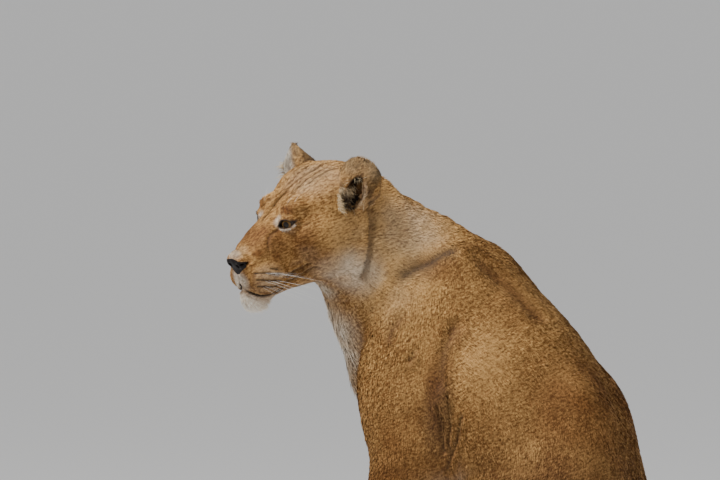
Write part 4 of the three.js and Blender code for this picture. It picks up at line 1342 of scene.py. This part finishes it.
# %% [markdown]
# ## The coat
# Her fur is short and lies flat, so most of it is colour and fine bump. Its broken edge and its sheen come
# from real tufts: flat pointed slips of mesh that overlap like shingles. Hair curves would be finer, but they
# can't be carried into another program. Where a tuft lies, how long it is and how far it lifts are all
# worked out on the skin's vertices and blended between them.

# %% Which way the hair lies
def body_flow(p):
    """Down and back along the part that the hair grows on."""
    total = np.zeros((len(p), 3))
    tubes = [(trunk, 1.0), (neck, -1.0), (throat, 0.8), (tail, 1.6)]
    for side in (-1, 1):
        fore, hind = forelegs[side], hind_legs[side]
        tubes += [(fore.shoulder, 1.2), (fore.arm, 1.6)]
        tubes += [(hind.thigh, 1.0), (hind.shank, 1.4), (hind.foot, 1.6)]
    for tube, weight in tubes:
        total += weight * tube.flow(p)
    return total + (0, 0, -0.15)


def head_flow(q):
    """Back from the nose, over the crown, and down across the cheeks and the chin."""
    side = np.sign(q[:, 1])
    low = smooth(-q[:, 2], -0.02, 0.09)
    behind = 1 - smooth(q[:, 0], 0.02, 0.17)
    way = np.stack([np.full(len(q), -1.0), side * 0.25 * low, 0.10 - low * (0.35 + 0.35 * behind)], 1)
    chin = blob(q, (215, 0, -118), (50, 50, 40))[:, None]
    way = way * (1 - chin) + chin * np.array([-0.75, 0, -0.65])
    # Round the eye the hair parts and runs past its outer corner.
    o = mirrored(q) - EYE_PLACE - (0.016, 0.010, 0)
    near = np.exp(-((o * o).sum(1)) / 0.024 ** 2)[:, None]
    away = unit(o) * [1, 1, 1.2]
    away[:, 1] *= np.where(side < 0, -1, 1)
    return unit(way) + 0.7 * near * away


def ear_flow(e, side, hollow_share):
    """Up the back of the ear; inside it, out of the cup and toward its rear edge."""
    up = np.array([-0.25, 0, 1.0])
    out = np.stack([np.full(len(e), 0.75), 0.55 - 8 * np.maximum(e[:, 1], 0), 0.35 - 6 * e[:, 2]], 1)
    way = up * (1 - hollow_share[:, None]) + out * hollow_share[:, None]
    return way * [1, side, 1] @ EAR_AXES[side]


ways = unit(evaluate(body_flow, skin_points))
ways = ways * (1 - head_share[:, None]) + unit(head_flow(q)) @ HEAD_AXES * head_share[:, None]
for side, column in ((1, 0), (-1, 1)):
    this_ear = on_ear * (ear_off[:, column] < ear_off[:, 1 - column])
    ear_ways = unit(ear_flow(in_ear(q, side), side, in_hollow)) @ HEAD_AXES
    ways = ways * (1 - this_ear[:, None]) + ear_ways * this_ear[:, None]
ways = unit(ways - (ways * normals).sum(1, keepdims=True) * normals * 0.96)
print("hair directions", len(ways))

# %% How long, how wide and how thick the tufts are
def blend(start, *steps):
    """Starts from one value and goes toward each next one by its mask."""
    value = np.full(len(skin_points), float(start))
    for target, mask in steps:
        value += (target - value) * np.clip(mask, 0, 1)
    return value


face_share = head_share * smooth(q[:, 0] + 0.3 * q[:, 2], -0.080, 0.030)
muzzle = smooth(q[:, 0], 0.115, 0.165) * face_share
beside_eye = blob(folded, EYE_PLACE * MM + (14, 10, 0), (34, 34, 30))
rear_cheek = blob(folded, (10, 90, -55), (70, 50, 75))
chin_share = blob(q, (213, 0, -120), (50, 46, 34))
front = np.maximum(blob(skin_points, (-125, -45, 800), (70, 80, 130)),
                   blob(skin_points, (-135, 0, 660), (90, 90, 170)))
belly = smooth(down, 0.3, 0.8) * smooth(height, 0.10, 0.25) * (1 - head_share)
legs_share = on_legs * (1 - smooth(height, 0.42, 0.56))
feet = 1 - smooth(height, 0.06, 0.13)
length = blend(12.5, (8.5, face_share), (4, muzzle), (4, beside_eye), (13.5, rear_cheek), (15, chin_share),
               (21, front), (21, belly), (11.5, legs_share), (7, feet), (12, on_tail), (42, tuft_share),
               (10, on_ear), (10, in_hollow)) / MM
length *= 1 + 0.22 * mottle(skin_points, 0.03, 21)
breadth = blend(1.8, (1.4, face_share), (1, muzzle), (0.9, beside_eye), (1.7, rear_cheek), (1.4, chin_share),
                (2.3, front), (1.6, feet), (2.6, tuft_share), (1.3, on_ear)) / MM
lift = blend(0.17, (0.17, face_share), (0.16, muzzle), (0.14, beside_eye), (0.24, rear_cheek),
             (0.42, chin_share), (0.26, front), (0.30, tuft_share), (0.26, on_ear), (0.34, in_hollow))
layers = blend(2.7, (2.6, face_share), (1.7, muzzle), (2.2, feet), (3.0, on_ear), (3.5, tuft_share))
bare = np.maximum.reduce([
    smooth(-leather(q), -0.0012, 0.0006) * (q[:, 0] > 0.21),
    np.where(at_eye, 1 - smooth(lid, 0.0016, 0.0042), 0),
    lip_line,
    0.95 * rows,
    0.70 * np.maximum(creases["forehead"], creases["brow"]),
    smooth(0.004 - height, 0, 0.002),
])
layers *= 1 - bare
density = layers / (0.5 * length * breadth)

# %% Scatter the roots
rng = np.random.default_rng(2024)
corners = [skin_points[skin_quads[:, n]] for n in range(4)]
area = 0.5 * np.linalg.norm(np.cross(corners[2] - corners[0], corners[3] - corners[1]), axis=1)
expected = area * density[skin_quads].mean(1)
count = np.floor(expected + rng.random(len(expected))).astype(int)
quad_of = np.repeat(np.arange(len(count)), count)
u, v = rng.random((2, len(quad_of), 1))
shares = np.concatenate([(1 - u) * (1 - v), u * (1 - v), u * v, (1 - u) * v], 1)


def at_roots(values):
    """Blends a vertex value to the roots."""
    picked = values[skin_quads[quad_of]]
    weights = shares if picked.ndim == 2 else shares[:, :, None]
    return (picked * weights).sum(1)


root = at_roots(skin_points)
outward = unit(at_roots(normals))
way = at_roots(ways)
print("roots", len(root), "over", round(float(area.sum()), 3), "square metres")

# %% Shape the tufts
SPAN_RANGE, BREADTH_RANGE, LIFT_RANGE = (0.75, 1.2), (0.8, 1.15), (0.65, 1.2)  # shares of the mean
RIPPLE_LIFT, RIPPLE_TONE, LOT = 0.42, 0.34, 0.15
YAW, ROLL = 0.13, 0.25  # radians
SUNK = 0.0006  # depth of a tuft's foot under the skin
WIDEST_AT, WIDEST_LIFT = 0.42, 0.62  # where a tuft is widest, and its share of the lift there
TURN, KEEP = 0.55, 0.65  # how far its edges are shaded round, and how much it is shaded like the skin
rows_here = ripple(root)
body_share = 1 - at_roots(np.maximum.reduce([0.3 * face_share, muzzle, beside_eye, feet]))
span = at_roots(length) * rng.uniform(*SPAN_RANGE, len(root))
half = at_roots(breadth) / 2 * rng.uniform(*BREADTH_RANGE, len(root))
raised = at_roots(lift) * rng.uniform(*LIFT_RANGE, len(root)) * (1 + RIPPLE_LIFT * rows_here * body_share)
yaw = rng.normal(0, YAW, len(root)) + YAW * mottle(root, 0.016, 31)
way = unit(way - (way * outward).sum(1, keepdims=True) * outward * 0.9)
aside = unit(np.cross(outward, way))
way = way * np.cos(yaw)[:, None] + aside * np.sin(yaw)[:, None]
aside = unit(np.cross(outward, way))
roll = rng.normal(0, ROLL, len(root))[:, None]
leaf = unit(aside + outward * roll)
foot_end = root - outward * SUNK
middle = root + way * (span * WIDEST_AT)[:, None] + outward * (span * raised * WIDEST_LIFT)[:, None]
tip = root + way * span[:, None] + outward * (span * raised)[:, None]
tuft_points = np.stack([foot_end, middle - leaf * half[:, None], tip, middle + leaf * half[:, None]], 1)
tuft_points[:, :, 2] = np.maximum(tuft_points[:, :, 2], 0.0002)
face_way = unit(np.cross(way, leaf))
face_way *= np.sign((face_way * outward).sum(1, keepdims=True))
soft = unit(outward * KEEP + face_way * (1 - KEEP))
tuft_normals = np.stack([
    unit(soft - way * 0.25), unit(soft - leaf * TURN), unit(soft + way * 0.30), unit(soft + leaf * TURN),
], 1)
lot = np.clip(0.5 + LOT * rng.normal(size=len(root)) + RIPPLE_TONE * rows_here * body_share, 0, 1)
print("tallest tip over the skin", round(float((span * raised).max()), 4))

# %% [markdown]
# ## Unwrapping the coat
# A texture for the coat needs each tuft at a place of its own. The skin is unwrapped like a box: a part of it
# that faces left, right, front, back, up or down becomes a chart. Each tuft is a small patch on the chart of
# its root, so neighbours on her body are neighbours in the texture.

# %% Charts of a box
PATCH, CHART_GAP = 0.003, 0.006


def box_unwrap(points, ways):
    """Places in the unit square, six charts in three columns and two rows."""
    axis = np.abs(ways).argmax(1)
    chart = axis * 2 + (ways[np.arange(len(ways)), axis] < 0)
    low, high = points.min(0), points.max(0)
    scale = 1 / max(float((high - low).max()), 1e-6)
    flat = (points - low) * scale
    place = np.empty((len(points), 2))
    for n in range(6):
        pick = chart == n
        if pick.any():
            part = flat[pick][:, [m for m in range(3) if m != n // 2]]
            spread = np.maximum(part.max(0) - part.min(0), 1e-6)
            part = (part - part.min(0)) / spread
            cell = np.array([1 / 3, 1 / 2])
            place[pick] = (part * (cell - 2 * CHART_GAP)) + cell * (n % 3, n // 3) + CHART_GAP
    return place


CORNER_OFFSETS = np.array([(0, -0.5), (-0.4, 0), (0, 0.5), (0.4, 0)]) * PATCH

# %% Coat pieces
root_part = belongs[skin_quads[quad_of, 0]]
root_head = at_roots(head_share) > 0.5
root_q = to_head(root)
root_ear = at_roots(on_ear) > 0.3
root_tuft = at_roots(tuft_share) > 0.5
SLOTS = {"coat_ears": "ear_coat", "coat_tail_tuft": "tail_hair"}
coat_parts = {
    "coat_ears": root_ear,
    "coat_face": root_head & ~root_ear & (root_q[:, 0] > 0.085),
    "coat_crown": root_head & ~root_ear & (root_q[:, 0] <= 0.085),
}
taken = root_head | root_ear
for number, name in enumerate(PARTS):
    here = ~taken & (root_part == number)
    if name in ("trunk", "neck"):
        coat_parts[f"coat_{name}_left"] = here & (root[:, 1] < 0)
        coat_parts[f"coat_{name}_right"] = here & (root[:, 1] >= 0)
    else:
        coat_parts[f"coat_{name}"] = here & ~root_tuft
coat_parts["coat_tail_tuft"] = ~taken & root_tuft
root_marks_light_and_shade = {key: at_roots(skin_marks_light_and_shade[key]) for key in ("marks", "dark", "tint")} | {"lot": lot}
ALONG_TUFT = [0.0, 0.62, 1.0, 0.62]  # how near each corner of a tuft is to its tip
triangles = 0
for name, pick in coat_parts.items():
    number = int(pick.sum())
    corner = np.arange(number * 4).reshape(-1, 4)
    marks = {key: np.repeat(values[pick], 4, 0) for key, values in root_marks_light_and_shade.items()}
    marks["tip"] = np.tile(ALONG_TUFT, number)
    piece = mesh_piece(name, tuft_points[pick].reshape(-1, 3), corner, coat, SLOTS.get(name, "coat"), marks)
    piece.data.normals_split_custom_set_from_vertices(tuft_normals[pick].reshape(-1, 3))
    place = box_unwrap(root[pick], outward[pick])
    layer = piece.data.uv_layers.new(name="OFBake")
    uv = (place[:, None] + CORNER_OFFSETS).astype(np.float32)
    layer.data.foreach_set("uv", uv.ravel())
    triangles += 2 * number
    print(name, 2 * number, "triangles")
print("coat", triangles, "triangles")

# %% [markdown]
# ## Whiskers and long ear hair
# Whiskers are stiff single hairs, thick enough to be seen one by one, so each is a thin tapered tube that
# droops. The long pale hairs that fence the opening of an ear are made the same way.

# %% Tapered hairs
HAIR_SIDES, HAIR_STEPS = 4, 7


def hairs(roots, ways, lengths, radius, droop, curl):
    """Closed four-sided tubes from their roots, bent by droop and drawn out to a point."""
    points, quads = [], []
    turn = np.arange(HAIR_SIDES) * 2 * math.pi / HAIR_SIDES
    for root, way, length, bend in zip(roots, ways, lengths, curl):
        t = np.linspace(0, 1, HAIR_STEPS + 1)
        line = root + np.outer(t * length, way) + np.outer(t ** 2 * length, bend + np.array(droop))
        axis = unit(np.gradient(line, axis=0))
        side = unit(np.cross(axis, (0.3, 0.2, 1)))
        over = np.cross(side, axis)
        size = (radius * (1 - 0.92 * t))[:, None, None]
        ring = side[:, None] * np.cos(turn)[None, :, None] + over[:, None] * np.sin(turn)[None, :, None]
        start = len(points) * (HAIR_STEPS + 1) * HAIR_SIDES
        points.append((line[:, None] + size * ring).reshape(-1, 3))
        for k in range(HAIR_STEPS):
            for n in range(HAIR_SIDES):
                a = start + k * HAIR_SIDES
                m = (n + 1) % HAIR_SIDES
                quads.append((a + n, a + m, a + HAIR_SIDES + m, a + HAIR_SIDES + n))
        end = start + HAIR_STEPS * HAIR_SIDES
        quads.append((start + 3, start + 2, start + 1, start))
        quads.append((end, end + 1, end + 2, end + 3))
    return np.concatenate(points), np.array(quads)


def snap(points):
    """The nearest vertices of the skin."""
    return np.array([np.linalg.norm(skin_points - p, axis=1).argmin() for p in points])


# %% Whiskers
whisker_finish = Finish("whisker", {"Base Color": (0.86, 0.82, 0.74, 1), "Roughness": 0.35})
rng = np.random.default_rng(77)
WHISKER_RADIUS, EAR_HAIR_RADIUS = 0.00020, 0.00048
ALONG_ROW, OVER_EYE = (0.22, 0.40, 0.58, 0.76, 0.94), (0.0, 1.0)
strands = []
for side in (1, -1):
    for row, line in enumerate(WHISKER_ROWS[1:]):
        for t in ALONG_ROW:
            step = t * (len(line) - 1)
            before = min(int(step), len(line) - 2)
            place = line[before] * (1 - step + before) + line[before + 1] * (step - before)
            way = unit((-0.62 - 0.3 * t, 0.62 - 0.1 * t, -0.22 - 0.16 * row + rng.normal(0, 0.06)))
            strands.append((place * [1, side, 1], way * [1, side, 1],
                            0.060 + 0.045 * t + rng.uniform(-0.012, 0.012), (-0.16, -0.10 * side, -0.05)))
    for t in OVER_EYE:
        place = np.array([0.128 - 0.012 * t, 0.036 + 0.010 * t, 0.066])
        way = unit((-0.35, 0.25, 0.9))
        strands.append((place * [1, side, 1], way * [1, side, 1], 0.026 + 0.006 * t, (-0.5, 0, -0.1)))
places, ways_out, lengths, curls = (np.array(column) for column in zip(*strands))
vertex = snap(from_head(places))
points, quads = hairs(skin_points[vertex] - normals[vertex] * 0.001, ways_out @ HEAD_AXES,
                      lengths, WHISKER_RADIUS, (0, 0, -0.10), curls @ HEAD_AXES)
mesh_piece("whiskers", points, quads, whisker_finish, "coat")
print("whiskers", len(lengths))

# %% Long hairs across the mouths of the ears and along their rims
ear_hair_finish = Finish("ear_hair", {"Roughness": 0.6})
HAIR_DARK, HAIR_LIGHT = (0.045, 0.022, 0.008, 1), (0.76, 0.58, 0.34, 1)
hair_colour = ear_hair_finish.mix(HAIR_DARK, HAIR_LIGHT, ear_hair_finish.attribute("lot"))
ear_hair_finish.feed("Base Color", hair_colour)
EAR_HAIRS, RIM_HAIRS = 420, {1: 160, -1: 420}
strands = []
for side in (1, -1):
    local = in_ear(q, side)
    this_side = np.sign(q[:, 1]) == side
    mouth = (hollow < 0.016) & (local[:, 1] < -0.006) & (local[:, 0] > 0.004) & (local[:, 2] < 0.004)
    rim_edge = (np.abs(hollow) < 0.005) & (on_ear > 0.5) & (local[:, 0] > 0.008) & (local[:, 1] < 0.026)
    pick = np.flatnonzero(mouth & this_side)
    for n in pick[rng.integers(0, len(pick), EAR_HAIRS)]:
        fan = np.array([0.62, 0.75, 0.15 - 9 * local[n, 2]]) + rng.normal(0, 0.16, 3)
        way = unit(fan * [1, side, 1]) @ EAR_AXES[side]
        strands.append((n, way, rng.uniform(0.010, 0.022), rng.normal(0, 0.18, 3) - (0.15, 0, 0.1)))
    pick = np.flatnonzero(rim_edge & this_side)
    for n in pick[rng.integers(0, len(pick), RIM_HAIRS[side])]:
        fan = np.array([0.9, 0.35 * np.sign(local[n, 1] + 0.01), 0.25]) + rng.normal(0, 0.25, 3)
        way = unit(fan * [1, side, 1]) @ EAR_AXES[side]
        strands.append((n, way, rng.uniform(0.010, 0.024), (-0.1, 0, -0.1)))
vertex, ways_out, lengths, curls = (np.array(column) for column in zip(*strands))
points, quads = hairs(skin_points[vertex], ways_out @ HEAD_AXES,
                      lengths, EAR_HAIR_RADIUS, (0, 0, -0.06), curls)
clump = 0.72 + 0.80 * mottle(skin_points[vertex], 0.009, 51) + 0.15 * rng.normal(size=len(vertex))
hair_lot = np.repeat(np.clip(clump, 0, 1), len(points) // len(lengths))
mesh_piece("ear_hair", points, quads, ear_hair_finish, "ear_coat", {"lot": hair_lot})
print("ear hairs", len(lengths))

# %% [markdown]
# ## Floor, light and camera
# She sits on a plain pale floor in soft light. It could come from one bright sky, but two wide lamps and a
# pale sky also show which way her coat lies. A long lens far away keeps her proportions true.

# %% Floor
FLOOR_HALF = 300.0
floor_corners = np.array([(-1, -1, 0), (1, -1, 0), (1, 1, 0), (-1, 1, 0)]) * FLOOR_HALF
FLOOR_LOOK = {"Base Color": (0.80, 0.79, 0.77, 1), "Roughness": 0.9, "Specular IOR Level": 0.2}
floor_finish = Finish("floor", FLOOR_LOOK)
floor = mesh_piece("floor", floor_corners, np.array([[0, 1, 2, 3]]), floor_finish, None)

# %% Sky and lamps
world = bpy.data.worlds.new("studio")
world.use_nodes = True
sky = world.node_tree.nodes["Background"]
sky.inputs["Color"].default_value = (0.92, 0.93, 0.95, 1)
sky.inputs["Strength"].default_value = 0.70
bpy.context.scene.world = world


def lamp(name, place, size, power, target):
    light = bpy.data.lights.new(name, "AREA")
    light.size = size
    light.energy = power
    made = bpy.data.objects.new(name, light)
    bpy.context.scene.collection.objects.link(made)
    made.location = place
    made.rotation_euler = (Vector(target) - Vector(place)).to_track_quat("-Z", "Y").to_euler()


lamp("key", (-1.3, -1.7, 3.7), 1.2, 170, (0, 0, 0.8))
lamp("fill", (2.6, -2.4, 1.4), 2.0, 10, (0, 0, 0.6))

# %% Camera
AZIMUTH, ELEVATION, DISTANCE, LENS = math.radians(20), math.radians(3), 12.0, 299
AIM_ASIDE, AIM_UP = -0.103, 0.970
right = np.array([math.cos(AZIMUTH), math.sin(AZIMUTH), 0])
back = np.array([math.sin(AZIMUTH), -math.cos(AZIMUTH), 0]) * math.cos(ELEVATION)
back[2] = math.sin(ELEVATION)
above = np.cross(back, right)
camera = bpy.data.objects.new("camera", bpy.data.cameras.new("camera"))
bpy.context.scene.collection.objects.link(camera)
camera.data.lens = LENS
camera.data.sensor_width = 36
camera.data.clip_end = 500
place = right * AIM_ASIDE + above * AIM_UP + back * DISTANCE + SHIFT
turned = Matrix(np.array([right, above, back]).T.tolist()).to_4x4()
camera.matrix_world = Matrix.Translation(Vector(place)) @ turned
bpy.context.scene.camera = camera
